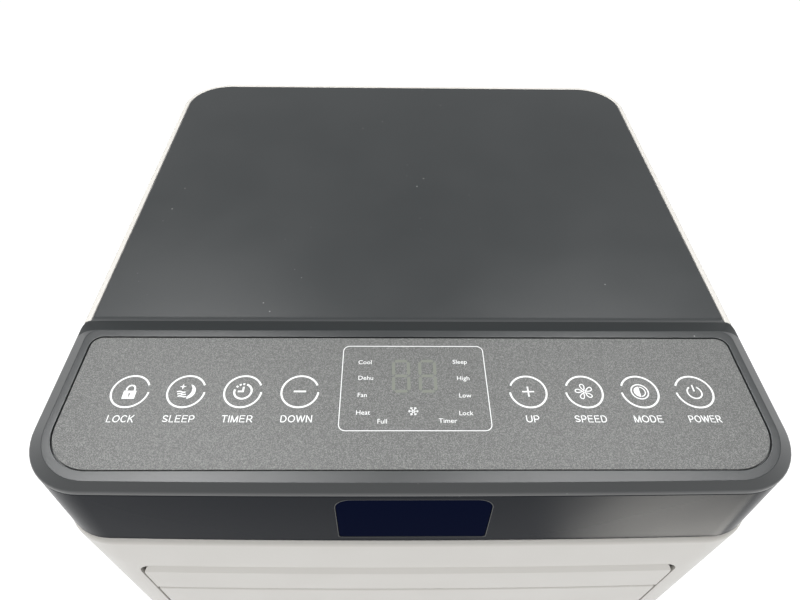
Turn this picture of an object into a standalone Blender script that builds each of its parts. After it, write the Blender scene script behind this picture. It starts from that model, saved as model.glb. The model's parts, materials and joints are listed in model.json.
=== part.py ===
"""Portable air conditioner: casings, control console, louvred outlet, blowers, cooling circuit and casters.

Row frame, in metres: +Z up, X to the right of someone facing the front, and the front faces -Y. The origin is
on the floor, under the middle of the machine.
"""

import math

import bmesh
import bpy
from mathutils import Matrix, Vector

MM = 0.001
GAP = 0.3 * MM  # clearance left between pieces that touch

# Overall size and the body's plan
HEIGHT = 690 * MM
WIDTH = 330 * MM
HALF = WIDTH / 2
FRONT = -173.1 * MM  # front face beside its corners; the middle bows out by BOW
BOW = 1.5 * MM
BACK = 162.5 * MM
FRONT_RADIUS = 26 * MM
BACK_RADIUS = 31 * MM
SEAM_Y = -80.5 * MM  # the joint between the front and the rear halves
WALL = 3.4 * MM

# Levels, from the floor up
BASE_BOTTOM = 40 * MM
BASE_TOP = 95 * MM
BASE_FLOOR = 4 * MM
PARTITION = 440 * MM
WHITE_TOP = 641 * MM  # top edge of the white front
LID_BOTTOM = 682 * MM
PLATE_TOP = HEIGHT - 5 * MM
PLATE_THICK = 4 * MM

# Console: lid, overlay, receiver window
CONSOLE_BACK = -81.0 * MM
LID_FRONT = -170.5 * MM
LID_TOP_HALF = 157 * MM
LID_TOP_FRONT = -168.3 * MM
LID_TOP_BACK = -90.5 * MM
OVERLAY_HALF = 153.0 * MM
OVERLAY_FRONT = -162.7 * MM
OVERLAY_BACK = -94.5 * MM
OVERLAY_THICK = 0.7 * MM
OVERLAY_GAP = 0.5 * MM
WINDOW_HALF = 33.3 * MM
DISPLAY_HALF = 31 * MM
DISPLAY_FRONT = -143 * MM
DISPLAY_BACK = -101 * MM

# Air outlet: blades across it, vanes behind them
OUTLET_HALF = 136.3 * MM
OUTLET_TOP = 607 * MM
BLADES = 4
BLADE_PITCH = 35 * MM
BLADE_HALF_LENGTH = 135.4 * MM
BLADE_HALF_HEIGHT = 16.9 * MM
BLADE_FACE = -175.3 * MM
BLADE_THICK = 5.5 * MM
BLADE_AXIS_Y = -166.5 * MM
BLADE_EDGE_GAP = 18.4 * MM  # from a blade's axis to the outlet's edge
CRANK = 12 * MM
PIN = 1.9 * MM
OUTLET_BOTTOM = OUTLET_TOP - 2 * BLADE_EDGE_GAP - (BLADES - 1) * BLADE_PITCH
VANES = 4
VANE_PITCH = 54 * MM
VANE_AXIS_Y = -143 * MM
VANE_ARM = 16 * MM
VANE_THICK = 1.8 * MM
DUCT_FRONT = -170.3 * MM
DUCT_BEND = -118 * MM
DUCT_REAR = -79.7 * MM
DUCT_WALL = 2.5 * MM
DUCT_SIDE = OUTLET_HALF + 0.6 * MM  # inner side of the duct
DUCT_FACE = DUCT_SIDE + DUCT_WALL  # its outer side
WINDOW_CORNER = 9 * MM
TRIM_CORNER = 12 * MM  # of the four blades' common outline, which turns inside the window's corners
BEARING = PIN + 0.5 * MM

# Blowers: axis across the machine
UPPER_AXIS = (15 * MM, 532 * MM)
LOWER_AXIS = (48 * MM, 362 * MM)
SCROLL_HALF = 70 * MM
SCROLL_SMALL = 57 * MM  # the scroll's radius where it starts, and at its top
SCROLL_LARGE = 68 * MM
SCROLL_MOUTH = 8 * MM  # the mouth's lower edge above the axis
BLOWER_RADIUS = 52 * MM
SHAFT = 3.5 * MM
INLET_RADIUS = 42 * MM

# Back of the machine
INTAKE_HALF = 125 * MM
UPPER_INTAKE = (465 * MM, 665 * MM)
LOWER_INTAKE = (100 * MM, 290 * MM)
SLOT_PITCH = 12 * MM
SLOT_HALF = 3.2 * MM
COLLAR_Z = 366 * MM
COLLAR_RADIUS = 65 * MM
COLLAR_BORE = 62 * MM
COLLAR_END = -BLADE_FACE
UPPER_DRAIN = (122 * MM, 405 * MM)
LOWER_DRAIN = (0.0, 69 * MM)
GLAND = (-122 * MM, 330 * MM)

# Casters
WHEEL_RADIUS = 17 * MM
WHEEL_HALF = 7 * MM
CASTER_X = 126 * MM
CASTER_Y = (-134 * MM, 122 * MM)
TRAIL = 11 * MM
STEM = 5 * MM
AXLE = 3 * MM

# Side grips
HANDLE_Y = (-20 * MM, 85 * MM)
HANDLE_Z = (580 * MM, 622 * MM)
HANDLE_DEPTH = 24 * MM

# Machinery: places in plan, and boxes from their lowest to their highest corner
COMPRESSOR = (-66 * MM, -70 * MM)
ACCUMULATOR = (17 * MM, -84 * MM)
FLOAT = (70 * MM, -60 * MM)
FLOAT_POST = 3 * MM
CAPACITOR = (104 * MM, -112 * MM)
EVAPORATOR = ((-124 * MM, 118 * MM, 456 * MM), (124 * MM, 142 * MM, 664 * MM))
CONDENSER = ((-124 * MM, 126 * MM, 62 * MM), (124 * MM, 150 * MM, 284 * MM))
ELECTRICS = ((52 * MM, -152 * MM, 300 * MM), (148 * MM, -62 * MM, 425 * MM))
THROUGH = 200 * MM  # half the length of a cutter that goes right through the machine

for old in list(bpy.data.objects):
    bpy.data.objects.remove(old)


# --- helpers -----------------------------------------------------------------------------------------------


def finish(name, colour, roughness, metallic=0.0):
    made = bpy.data.materials.new(name)
    made.use_nodes = True
    shader = made.node_tree.nodes["Principled BSDF"]
    shader.inputs["Base Color"].default_value = (*colour, 1.0)
    shader.inputs["Roughness"].default_value = roughness
    shader.inputs["Metallic"].default_value = metallic
    return made


WHITE = finish("white_casing", (0.78, 0.77, 0.74), 0.35)
DARK = finish("dark_satin", (0.055, 0.058, 0.062), 0.42)
FILM = finish("overlay_film", (0.11, 0.11, 0.115), 0.6)
NAVY = finish("window_gloss", (0.006, 0.008, 0.03), 0.06)
BOARD = finish("circuit_board", (0.02, 0.16, 0.06), 0.5)
GREY = finish("grey_plastic", (0.35, 0.36, 0.37), 0.5)
FIN = finish("aluminium_fin", (0.72, 0.74, 0.76), 0.35, 1.0)
STEEL = finish("galvanised_steel", (0.55, 0.56, 0.57), 0.4, 1.0)
BLACK = finish("black_paint", (0.015, 0.015, 0.016), 0.35)
COPPER = finish("copper_tube", (0.72, 0.36, 0.2), 0.3, 1.0)
RUBBER = finish("black_rubber", (0.02, 0.02, 0.02), 0.8)
MESH = finish("filter_mesh", (0.09, 0.1, 0.12), 0.8)


def keep(name, bm, material=None):
    """The object holding this bmesh: a node if it has a material, or else a hidden cutter or joined piece."""
    bmesh.ops.recalc_face_normals(bm, faces=bm.faces)
    mesh = bpy.data.meshes.new(name)
    bm.to_mesh(mesh)
    bm.free()
    made = bpy.data.objects.new(name, mesh)
    bpy.context.scene.collection.objects.link(made)
    if material:
        mesh.materials.append(material)
        mesh.shade_smooth()
        mesh.set_sharp_from_angle(angle=math.radians(35))
    else:
        made.hide_render = True
        made.display_type = "WIRE"
    return made


def loft(name, rings, material=None, closed=False):
    """A solid through rings of points, capped at its ends, or running back to its first ring if closed."""
    bm = bmesh.new()
    rows = [[bm.verts.new(point) for point in ring] for ring in rings]
    pairs = list(zip(rows, rows[1:]))
    if closed:
        pairs.append((rows[-1], rows[0]))
    else:
        bm.faces.new(rows[0])
        bm.faces.new(rows[-1])
    for low, high in pairs:
        for i in range(len(low)):
            j = (i + 1) % len(low)
            bm.faces.new((low[i], low[j], high[j], high[i]))
    return keep(name, bm, material)


def place(axis, across, up, along):
    """A point from its two coordinates across an axis, in the order X, Y, Z, and the one along it."""
    if axis == "X":
        return (along, across, up)
    if axis == "Y":
        return (across, along, up)
    return (across, up, along)


def prism(name, axis, outline, low, high, material=None):
    rings = [[place(axis, a, b, along) for a, b in outline] for along in (low, high)]
    return loft(name, rings, material)


def box(name, low, high, material=None):
    outline = [(low[0], low[1]), (high[0], low[1]), (high[0], high[1]), (low[0], high[1])]
    return prism(name, "Z", outline, low[2], high[2], material)


def circle(centre, radius, steps=24):
    turn = 2 * math.pi / steps
    return [
        (centre[0] + radius * math.sin(turn * i), centre[1] - radius * math.cos(turn * i))
        for i in range(steps)
    ]


def cylinder(name, axis, centre, radius, low, high, material=None, steps=24):
    return prism(name, axis, circle(centre, radius, steps), low, high, material)


def turned(name, axis, centre, profile, material=None, steps=24):
    """A closed profile of (radius, along) turned about an axis, or one that starts and ends on the axis."""
    solid = profile[0][0] == 0
    rings = [
        [place(axis, a, b, along) for a, b in circle(centre, radius, steps)]
        for radius, along in (profile[1:-1] if solid else profile)
    ]
    return loft(name, rings, material, closed=not solid)


def corner(centre, radius, start, steps):
    """A quarter of a circle, from the angle start in degrees, counter-clockwise."""
    angles = [math.radians(start + 90 * i / steps) for i in range(steps + 1)]
    return [(centre[0] + radius * math.cos(a), centre[1] + radius * math.sin(a)) for a in angles]


def rounded(low, high, radii, steps=4):
    """A rectangle with its corners rounded: radii in the order low-low, high-low, high-high, low-high."""
    if not isinstance(radii, tuple):
        radii = (radii,) * 4
    a, b, c, d = radii
    return (
        corner((low[0] + a, low[1] + a), a, 180, steps)
        + corner((high[0] - b, low[1] + b), b, 270, steps)
        + corner((high[0] - c, high[1] - c), c, 0, steps)
        + corner((low[0] + d, high[1] - d), d, 90, steps)
    )


def front_path(inset=0.0, seam=SEAM_Y, front=FRONT, bow=BOW):
    """The plan of the front half, from its left seam round the bowed front to its right seam."""
    radius = FRONT_RADIUS - inset
    x, y = HALF - inset, front + inset
    left = corner((-x + radius, y + radius), radius, 180, 6)
    right = corner((x - radius, y + radius), radius, 270, 6)
    flat = x - radius
    middle = [(flat * s, y - bow * (1 - s * s)) for s in (-0.75, -0.5, -0.25, 0, 0.25, 0.5, 0.75)]
    return [(-x, seam)] + left + middle + right + [(x, seam)]


def back_path(inset=0.0, seam=SEAM_Y):
    """The plan of the rear half, from its right seam round the back to its left seam."""
    radius = BACK_RADIUS - inset
    x, y = HALF - inset, BACK - inset
    right = corner((x - radius, y - radius), radius, 0, 6)
    left = corner((-x + radius, y - radius), radius, 90, 6)
    return [(x, seam)] + right + left + [(-x, seam)]


def body_plan(inset):
    return front_path(inset)[1:-1] + back_path(inset)[1:-1]


def at_level(outline, z):
    return [(x, y, z) for x, y in outline]


def boolean(target, operation, helpers):
    for helper in helpers:
        step = target.modifiers.new(helper.name, "BOOLEAN")
        step.operation = operation
        step.object = helper
        step.solver = "EXACT"


def cut(target, *cutters):
    boolean(target, "DIFFERENCE", cutters)


def join(target, *others):
    boolean(target, "UNION", others)


# --- casings ------------------------------------------------------------------------------------------------


def make_base_pan():
    """The tray that everything stands on: caster sockets, the float's post and the lower drain's hole."""
    pan = loft(
        "base_pan",
        [at_level(body_plan(6 * MM), BASE_BOTTOM), at_level(body_plan(0), BASE_BOTTOM + 8 * MM),
         at_level(body_plan(0), BASE_TOP)],
        WHITE,
    )
    floor = BASE_BOTTOM + BASE_FLOOR
    hollow = loft(
        "pan_hollow",
        [at_level(body_plan(9 * MM), floor), at_level(body_plan(WALL), floor + 6 * MM),
         at_level(body_plan(WALL), BASE_TOP + 5 * MM)],
    )
    cut(pan, hollow)
    for i, (x, y) in enumerate(caster_places()):
        join(pan, cylinder(f"boss_{i}", "Z", (x, y), 10 * MM, floor - 2 * MM, floor + 10 * MM, steps=16))
        cut(pan, cylinder(f"socket_{i}", "Z", (x, y), STEM + 0.4 * MM, 30 * MM, 80 * MM, steps=16))
    join(pan, cylinder("float_post", "Z", FLOAT, FLOAT_POST, floor - 2 * MM, floor + 36 * MM, steps=12))
    near, far = BACK - 20 * MM, BACK + 9 * MM
    cut(pan, cylinder("lower_drain_hole", "Y", LOWER_DRAIN, 8.4 * MM, near, far, steps=20))


def caster_places():
    return [(x, y) for y in CASTER_Y for x in (-CASTER_X, CASTER_X)]


def make_front_casing():
    outline = front_path(0, SEAM_Y - GAP / 2) + front_path(WALL - 0.9 * MM, SEAM_Y - GAP / 2)[::-1]
    casing = prism("front_casing", "Z", outline, BASE_TOP + GAP, WHITE_TOP, WHITE)
    window = rounded((-OUTLET_HALF, OUTLET_BOTTOM), (OUTLET_HALF, OUTLET_TOP), WINDOW_CORNER)
    cut(casing, prism("outlet_window", "Y", window, FRONT - 20 * MM, FRONT + 15 * MM))


def make_rear_casing():
    outline = back_path(0, SEAM_Y + GAP / 2) + back_path(WALL, SEAM_Y + GAP / 2)[::-1]
    casing = prism("rear_casing", "Z", outline, BASE_TOP + GAP, PLATE_TOP - 0.6 * MM, WHITE)
    near, far = BACK - 12 * MM, BACK + 12 * MM
    for name, (low, high) in (("upper", UPPER_INTAKE), ("lower", LOWER_INTAKE)):
        outline = rounded((-INTAKE_HALF, low), (INTAKE_HALF, high), 6 * MM, 3)
        cut(casing, prism(f"{name}_intake_window", "Y", outline, near, far))
    cut(casing, cylinder("collar_hole", "Y", (0, COLLAR_Z), COLLAR_RADIUS + 0.4 * MM, near, far, steps=40))
    cut(casing, cylinder("upper_drain_hole", "Y", UPPER_DRAIN, 8.4 * MM, near, far, steps=20))
    cut(casing, cylinder("gland_hole", "Y", GLAND, 9.4 * MM, near, far, steps=20))
    for side in (-1, 1):
        outline = rounded((HANDLE_Y[0], HANDLE_Z[0]), (HANDLE_Y[1], HANDLE_Z[1]), 8 * MM)
        ends = sorted((side * (HALF - 12 * MM), side * (HALF + 12 * MM)))
        cut(casing, prism(f"grip_window_{side}", "X", outline, *ends))


def make_top_cover():
    inset = WALL + GAP
    outline = back_path(inset, CONSOLE_BACK + GAP)
    prism("top_cover", "Z", outline, PLATE_TOP - PLATE_THICK, PLATE_TOP, DARK)


def make_mid_partition():
    """The tray between the two air paths, with a hole for the refrigerant pipes."""
    plate = prism("mid_partition", "Z", body_plan(WALL + 1 * MM), PARTITION, PARTITION + 3 * MM, GREY)
    hollow = [(-120 * MM, 112 * MM), (120 * MM, 112 * MM), (120 * MM, 146 * MM), (-120 * MM, 146 * MM)]
    join(plate, prism("drip_tray", "Z", hollow, PARTITION - 7 * MM, PARTITION + 1 * MM))
    inside = [(-117 * MM, 115 * MM), (117 * MM, 115 * MM), (117 * MM, 143 * MM), (-117 * MM, 143 * MM)]
    cut(plate, prism("drip_hollow", "Z", inside, PARTITION - 4 * MM, PARTITION + 9 * MM))
    slot = rounded((124 * MM, 60 * MM), (152 * MM, 104 * MM), 6 * MM, 3)
    cut(plate, prism("pipe_hole", "Z", slot, PARTITION - 9 * MM, PARTITION + 9 * MM))


def make_handles():
    for side, name in ((-1, "left"), (1, "right")):
        y0, y1 = HANDLE_Y[0] + GAP, HANDLE_Y[1] - GAP
        z0, z1 = HANDLE_Z[0] + GAP, HANDLE_Z[1] - GAP
        lip = side * (HALF - 0.4 * MM)
        depth = side * (HALF - HANDLE_DEPTH)
        outline = rounded((y0, z0), (y1, z1), 7.7 * MM)
        cup = prism(f"side_handle_{name}", "X", outline, *sorted((lip, depth)), DARK)
        outline = rounded((y0 + 2 * MM, z0 + 2 * MM), (y1 - 2 * MM, z1 - 2 * MM), 6 * MM)
        ends = sorted((side * (HALF + 5 * MM), depth + side * 2 * MM))
        cut(cup, prism(f"grip_hollow_{name}", "X", outline, *ends))


# --- control console ----------------------------------------------------------------------------------------


def console_plan(inset, front, back, rear_radius):
    """The console's plan: the body's front corners, a bowed front and small rear corners."""
    side = front_path(inset, back, front - inset, BOW * 0.6)
    x = HALF - inset
    right = corner((x - rear_radius, back - rear_radius), rear_radius, 0, 3)
    left = corner((-x + rear_radius, back - rear_radius), rear_radius, 90, 3)
    return side[1:-1] + right + left


def fascia_y(x, z):
    """The front of the console housing, which leans back a little towards the lid."""
    rise = (z - WHITE_TOP) / (LID_BOTTOM - WHITE_TOP)
    face = FRONT + rise * (LID_FRONT - FRONT)
    bow = BOW * (1 - 0.4 * rise)
    return face - bow * (1 - (x / (HALF - FRONT_RADIUS)) ** 2)


def make_console_housing():
    low, high = WHITE_TOP + 0.4 * MM, LID_BOTTOM - 0.5 * MM
    thick = 2.5 * MM
    rings = [
        at_level(console_plan(0, FRONT, CONSOLE_BACK, 4 * MM), low),
        at_level(console_plan(0, LID_FRONT, CONSOLE_BACK, 4 * MM), high),
        at_level(console_plan(thick, LID_FRONT + thick, CONSOLE_BACK - thick, 2 * MM), high),
        at_level(console_plan(thick, FRONT + thick, CONSOLE_BACK - thick, 2 * MM), low),
    ]
    housing = loft("console_housing", rings, DARK, closed=True)
    cut(housing, window_body("window_opening", 0.0, -6 * MM, 6 * MM))
    return housing


def window_body(name, inset, front, back, material=None):
    """A plate of the receiver window's outline, following the fascia from front to back of its surface."""
    low = (-WINDOW_HALF + inset, WHITE_TOP + 2 * MM + inset)
    high = (WINDOW_HALF - inset, LID_BOTTOM - 3 * MM - inset)
    outline = rounded(low, high, (1 * MM, 1 * MM, 7 * MM, 7 * MM), 3)
    rings = [[(x, fascia_y(x, z) + depth, z) for x, z in outline] for depth in (front, back)]
    return loft(name, rings, material)


def make_lid():
    rings = [
        at_level(console_plan(0, LID_FRONT, CONSOLE_BACK, 4 * MM), LID_BOTTOM),
        at_level(console_plan(0, LID_FRONT, CONSOLE_BACK, 4 * MM), PLATE_TOP - 0.6 * MM),
        at_level(console_plan(HALF - LID_TOP_HALF, LID_TOP_FRONT, LID_TOP_BACK, 5 * MM), HEIGHT),
    ]
    lid = loft("console_lid", rings, DARK)
    outline = overlay_plan(OVERLAY_GAP)
    recess = HEIGHT - OVERLAY_THICK - 2 * GAP
    cut(lid, prism("overlay_recess", "Z", outline, recess, HEIGHT + 5 * MM))
    pocket = rounded((-148 * MM, -160 * MM), (148 * MM, -96 * MM), 12 * MM, 3)
    cut(lid, prism("board_pocket", "Z", pocket, LID_BOTTOM - 5 * MM, HEIGHT - 3 * MM))
    low, high = (-DISPLAY_HALF, DISPLAY_FRONT), (DISPLAY_HALF, DISPLAY_BACK)
    cut(lid, prism("display_window", "Z", rounded(low, high, 2 * MM, 2), LID_BOTTOM, HEIGHT + 5 * MM))


def overlay_plan(grow):
    radii = (20 * MM + grow, 20 * MM + grow, 5 * MM + grow, 5 * MM + grow)
    low = (-OVERLAY_HALF - grow, OVERLAY_FRONT - grow)
    high = (OVERLAY_HALF + grow, OVERLAY_BACK + grow)
    return rounded(low, high, radii, 5)


def make_console_inside():
    top = HEIGHT - GAP
    prism("control_overlay", "Z", overlay_plan(0), top - OVERLAY_THICK, top, FILM)
    window_body("receiver_window", GAP, 0.1 * MM, 2.2 * MM, NAVY)
    board = rounded((-144 * MM, -156 * MM), (144 * MM, -100 * MM), 6 * MM, 2)
    prism("control_board", "Z", board, LID_BOTTOM + 0.6 * MM, LID_BOTTOM + 2.2 * MM, BOARD)
    low, high = (-DISPLAY_HALF + MM, DISPLAY_FRONT + MM), (DISPLAY_HALF - MM, DISPLAY_BACK - MM)
    outline = rounded(low, high, 1 * MM, 2)
    prism("display_module", "Z", outline, LID_BOTTOM + 2.5 * MM, HEIGHT - 1.6 * MM, NAVY)


# --- air outlet ---------------------------------------------------------------------------------------------


def blade_level(i):
    return OUTLET_TOP - BLADE_EDGE_GAP - i * BLADE_PITCH


def blade_section(z):
    """A blade's section across its length: a flat face, rounded edges and a slimmer back."""
    face, back = BLADE_FACE, BLADE_FACE + BLADE_THICK
    h, r = BLADE_HALF_HEIGHT, 3 * MM
    low = corner((face + r, z - h + r), r, 180, 3)
    high = corner((face + r, z + h - r), r, 90, 3)
    return low + [(back, z - h + 2 * MM), (back, z + h - 2 * MM)] + high


def make_blades():
    """Each blade with the journals at its ends, and the crank that the link bar turns it by."""
    for i in range(BLADES):
        z = blade_level(i)
        axis = (BLADE_AXIS_Y, z)
        end = BLADE_HALF_LENGTH
        blade = prism(f"louvre_blade_{i + 1}", "X", blade_section(z), -end, end, WHITE)
        low = (-end, blade_level(BLADES - 1) - BLADE_HALF_HEIGHT)
        high = (end, blade_level(0) + BLADE_HALF_HEIGHT)
        trim = prism(f"blade_trim_{i}", "Y", rounded(low, high, TRIM_CORNER), BLADE_FACE - MM, BLADE_AXIS_Y)
        boolean(blade, "INTERSECT", [trim])
        for side in (-1, 1):
            ear = [
                (BLADE_FACE + BLADE_THICK - 1 * MM, z - 6 * MM),
                (BLADE_AXIS_Y + 3 * MM, z - 3 * MM),
                (BLADE_AXIS_Y + 3 * MM, z + 3 * MM),
                (BLADE_FACE + BLADE_THICK - 1 * MM, z + 6 * MM),
            ]
            ends = sorted((side * (end - 3 * MM), side * end))
            join(blade, prism(f"ear_{i}_{side}", "X", ear, *ends))
        start = end - 2 * MM
        join(blade, cylinder(f"left_pin_{i}", "X", axis, PIN, -DUCT_FACE - 1 * MM, -start, steps=8))
        join(blade, cylinder(f"right_pin_{i}", "X", axis, PIN, start, DUCT_FACE + 3 * MM, steps=8))
        tip = (BLADE_AXIS_Y + CRANK, z)
        arm = rounded((BLADE_AXIS_Y - 3 * MM, z - 3 * MM), (tip[0] + 3 * MM, z + 3 * MM), 2.6 * MM, 2)
        join(blade, prism(f"crank_{i}", "X", arm, DUCT_FACE + 1.2 * MM, DUCT_FACE + 3.4 * MM))
        ends = (DUCT_FACE + 2.4 * MM, DUCT_FACE + 8 * MM)
        join(blade, cylinder(f"crank_pin_{i}", "X", tip, PIN, *ends, steps=8))


def make_louvre_link():
    y = BLADE_AXIS_Y + CRANK
    low = (y - 4 * MM, blade_level(BLADES - 1) - 5 * MM)
    high = (y + 4 * MM, blade_level(0) + 5 * MM)
    outline = rounded(low, high, 3 * MM, 2)
    bar = prism("louvre_link", "X", outline, DUCT_FACE + 4.2 * MM, DUCT_FACE + 6.8 * MM, GREY)
    for i in range(BLADES):
        cut(bar, cylinder(f"link_hole_{i}", "X", (y, blade_level(i)), BEARING, 0, THROUGH, steps=8))


def make_louvre_motor():
    """A small geared motor outside the duct, on the top blade's axis."""
    face = -(DUCT_FACE + 1.6 * MM)
    axis = (BLADE_AXIS_Y + 14 * MM, blade_level(0))
    cylinder("louvre_motor", "X", axis, 10 * MM, face - 14 * MM, face, STEEL, steps=20)


def make_duct():
    """The outlet duct, from the blower's mouth to the louvre, with the bearings of blades and vanes."""
    low, high = OUTLET_BOTTOM - 0.6 * MM, OUTLET_TOP + 0.6 * MM
    mouth_low, mouth_high = UPPER_AXIS[1] + SCROLL_MOUTH, UPPER_AXIS[1] + SCROLL_LARGE

    def section(y, half, z0, z1, grow):
        a, b, c = half + grow, z0 - grow, z1 + grow
        return [(-a, y, b), (a, y, b), (a, y, c), (-a, y, c)]

    sections = [
        (DUCT_FRONT, DUCT_SIDE, low, high),
        (DUCT_BEND, DUCT_SIDE, low, high),
        (DUCT_REAR, SCROLL_HALF, mouth_low, mouth_high),
    ]
    outer = [section(*s, DUCT_WALL) for s in sections]
    inner = [section(*s, 0) for s in reversed(sections)]
    duct = loft("outlet_duct", outer + inner, WHITE, closed=True)
    for i in range(BLADES):
        axis = (BLADE_AXIS_Y, blade_level(i))
        cut(duct, cylinder(f"blade_bearing_{i}", "X", axis, BEARING, -THROUGH, THROUGH, steps=8))
    for i in range(VANES):
        cut(duct, cylinder(f"vane_bearing_{i}", "Z", (vane_x(i), VANE_AXIS_Y), BEARING, 0, HEIGHT, steps=8))


def vane_x(i):
    return (i - (VANES - 1) / 2) * VANE_PITCH


def make_vanes():
    """Upright vanes behind the blades. A notch at each one's rear edge holds the pin for the link bar."""
    low, high = OUTLET_BOTTOM + 1 * MM, OUTLET_TOP - 1 * MM
    middle = (low + high) / 2
    half = VANE_THICK / 2
    pin_y = VANE_AXIS_Y + VANE_ARM
    for i in range(VANES):
        x = vane_x(i)
        lead, trail = VANE_AXIS_Y - 3 * MM, pin_y + 4 * MM
        vane = box(f"guide_vane_{i + 1}", (x - half, lead, low), (x + half, trail, high), GREY)
        start, end = (x - 5 * MM, pin_y - 9 * MM, middle - 5 * MM), (x + 5 * MM, trail + MM, middle + 5 * MM)
        cut(vane, box(f"notch_{i}", start, end))
        bar = (x, pin_y)
        join(vane, cylinder(f"vane_pin_{i}", "Z", bar, 1.5 * MM, middle - 7 * MM, middle + 7 * MM, steps=8))
        ends = (low - DUCT_WALL - 1 * MM, high + DUCT_WALL + 1 * MM)
        join(vane, cylinder(f"vane_stem_{i}", "Z", (x, VANE_AXIS_Y), PIN, *ends, steps=8))
    end = vane_x(VANES - 1) + 6 * MM
    outline = rounded((-end, pin_y - 3.5 * MM), (end, pin_y + 3.5 * MM), 2.5 * MM, 2)
    bar = prism("vane_link", "Z", outline, middle - 1.5 * MM, middle + 1.5 * MM, GREY)
    for i in range(VANES):
        cut(bar, cylinder(f"vane_hole_{i}", "Z", (vane_x(i), pin_y), 2.0 * MM, 0, HEIGHT, steps=8))


# --- blowers ------------------------------------------------------------------------------------------------


def scroll_outline(axis, mouth, forward, grow):
    """A snail's outline: its radius grows round to the top, then it runs straight to the mouth."""
    steps = 18
    start, turn = math.radians(-172), math.radians(262)
    points = []
    for i in range(steps + 1):
        share = i / steps
        radius = SCROLL_SMALL + (SCROLL_LARGE - SCROLL_SMALL) * share + grow
        angle = start + turn * share
        points.append((radius * math.cos(angle), radius * math.sin(angle)))
    run = abs(mouth - axis[0])
    points += [(-run, SCROLL_LARGE + grow), (-run, SCROLL_MOUTH - grow)]
    side = 1 if forward else -1
    return [(axis[0] + side * y, axis[1] + z) for y, z in points]


def make_blower(name, axis, mouth, forward):
    """Scroll housing, wheel with its shaft, and motor, all on one axis across the machine."""
    thick = 2.5 * MM
    outside = scroll_outline(axis, mouth, forward, 0)
    scroll = prism(f"{name}_scroll", "X", outside, -SCROLL_HALF, SCROLL_HALF, GREY)
    past = mouth - 5 * MM if forward else mouth + 5 * MM
    inside = scroll_outline(axis, past, forward, -thick)
    cut(scroll, prism(f"{name}_scroll_hollow", "X", inside, -SCROLL_HALF + thick, SCROLL_HALF - thick))
    cut(scroll, cylinder(f"{name}_inlets", "X", axis, INLET_RADIUS, -THROUGH, THROUGH, steps=24))

    half = SCROLL_HALF - 8 * MM
    wheel = cylinder(f"{name}_blower", "X", axis, BLOWER_RADIUS, -1.5 * MM, 1.5 * MM, DARK, steps=20)
    rim = 3 * MM
    for side in (-1, 1):
        far = sorted((side * half, side * (half - rim)))
        profile = [(BLOWER_RADIUS, far[0]), (BLOWER_RADIUS, far[1]), (BLOWER_RADIUS - 9 * MM, far[1]),
                   (BLOWER_RADIUS - 9 * MM, far[0])]
        join(wheel, turned(f"{name}_rim_{side}", "X", axis, profile, steps=20))
    blades = 12
    for i in range(blades):
        turn = 2 * math.pi * (i + 0.5) / blades
        end = half - 1 * MM
        slat = box(f"{name}_slat_{i}", (-end, -0.8 * MM, -4 * MM), (end, 0.8 * MM, 4 * MM))
        spot = Matrix.Translation((0, axis[0], axis[1])) @ Matrix.Rotation(turn, 4, "X")
        lean = Matrix.Translation((0, 0, BLOWER_RADIUS - 4.6 * MM)) @ Matrix.Rotation(0.5, 4, "X")
        slat.matrix_world = spot @ lean
        join(wheel, slat)
    join(wheel, cylinder(f"{name}_hub", "X", axis, 12 * MM, -14 * MM, 14 * MM, steps=16))
    join(wheel, cylinder(f"{name}_shaft", "X", axis, SHAFT, -10 * MM, SCROLL_HALF + 16 * MM, steps=12))

    start = SCROLL_HALF + 4 * MM
    motor = cylinder(f"{name}_fan_motor", "X", axis, 34 * MM, start, start + 44 * MM, STEEL, steps=24)
    join(motor, cylinder(f"{name}_boss", "X", axis, 14 * MM, start - 6 * MM, start + 3 * MM, steps=16))
    ends = (start - 9 * MM, start + 16 * MM)
    cut(motor, cylinder(f"{name}_bearing", "X", axis, SHAFT + 0.4 * MM, *ends, steps=12))


# --- cooling circuit ----------------------------------------------------------------------------------------


def make_coil(name, low, high):
    """A fin block with its tube plates, and the bends of the tubes along one side."""
    core = box(name, low, high, FIN)
    for x in (low[0], high[0]):
        start, end = (x - MM, low[1] - MM, low[2] - MM), (x + MM, high[1] + MM, high[2] + MM)
        join(core, box(f"{name}_plate_{x:.3f}", start, end))
    bends = 5
    middle = (low[1] + high[1]) / 2
    pitch = (high[2] - low[2]) / bends
    for i in range(bends):
        z = low[2] + (i + 0.5) * pitch
        bend = rounded((middle - 4 * MM, z - 14 * MM), (middle + 4 * MM, z + 14 * MM), 3.8 * MM, 2)
        join(core, prism(f"{name}_bend_{i}", "X", bend, low[0] - 9 * MM, low[0]))


def make_compressor():
    x, y = COMPRESSOR
    r = 54 * MM
    floor = BASE_BOTTOM + BASE_FLOOR
    profile = [(0, 0), (r - 8 * MM, floor + 8 * MM), (r, floor + 20 * MM), (r, floor + 160 * MM),
               (r - 12 * MM, floor + 180 * MM), (r - 34 * MM, floor + 190 * MM), (0, 0)]
    shell = turned("compressor", "Z", (x, y), profile, BLACK, steps=32)
    feet = rounded((x - 57 * MM, y - 57 * MM), (x + 57 * MM, y + 57 * MM), 26 * MM, 3)
    join(shell, prism("compressor_feet", "Z", feet, floor + 2 * MM, floor + 9 * MM))
    ends = (floor + 170 * MM, floor + 200 * MM)
    join(shell, cylinder("compressor_cap", "Z", (x - 20 * MM, y), 14 * MM, *ends))

    ax, ay = ACCUMULATOR
    ar = 18 * MM
    profile = [(0, 0), (6 * MM, 92 * MM), (ar, 104 * MM), (ar, 214 * MM), (6 * MM, 226 * MM), (0, 0)]
    turned("accumulator", "Z", (ax, ay), profile, BLACK, steps=20)


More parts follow.
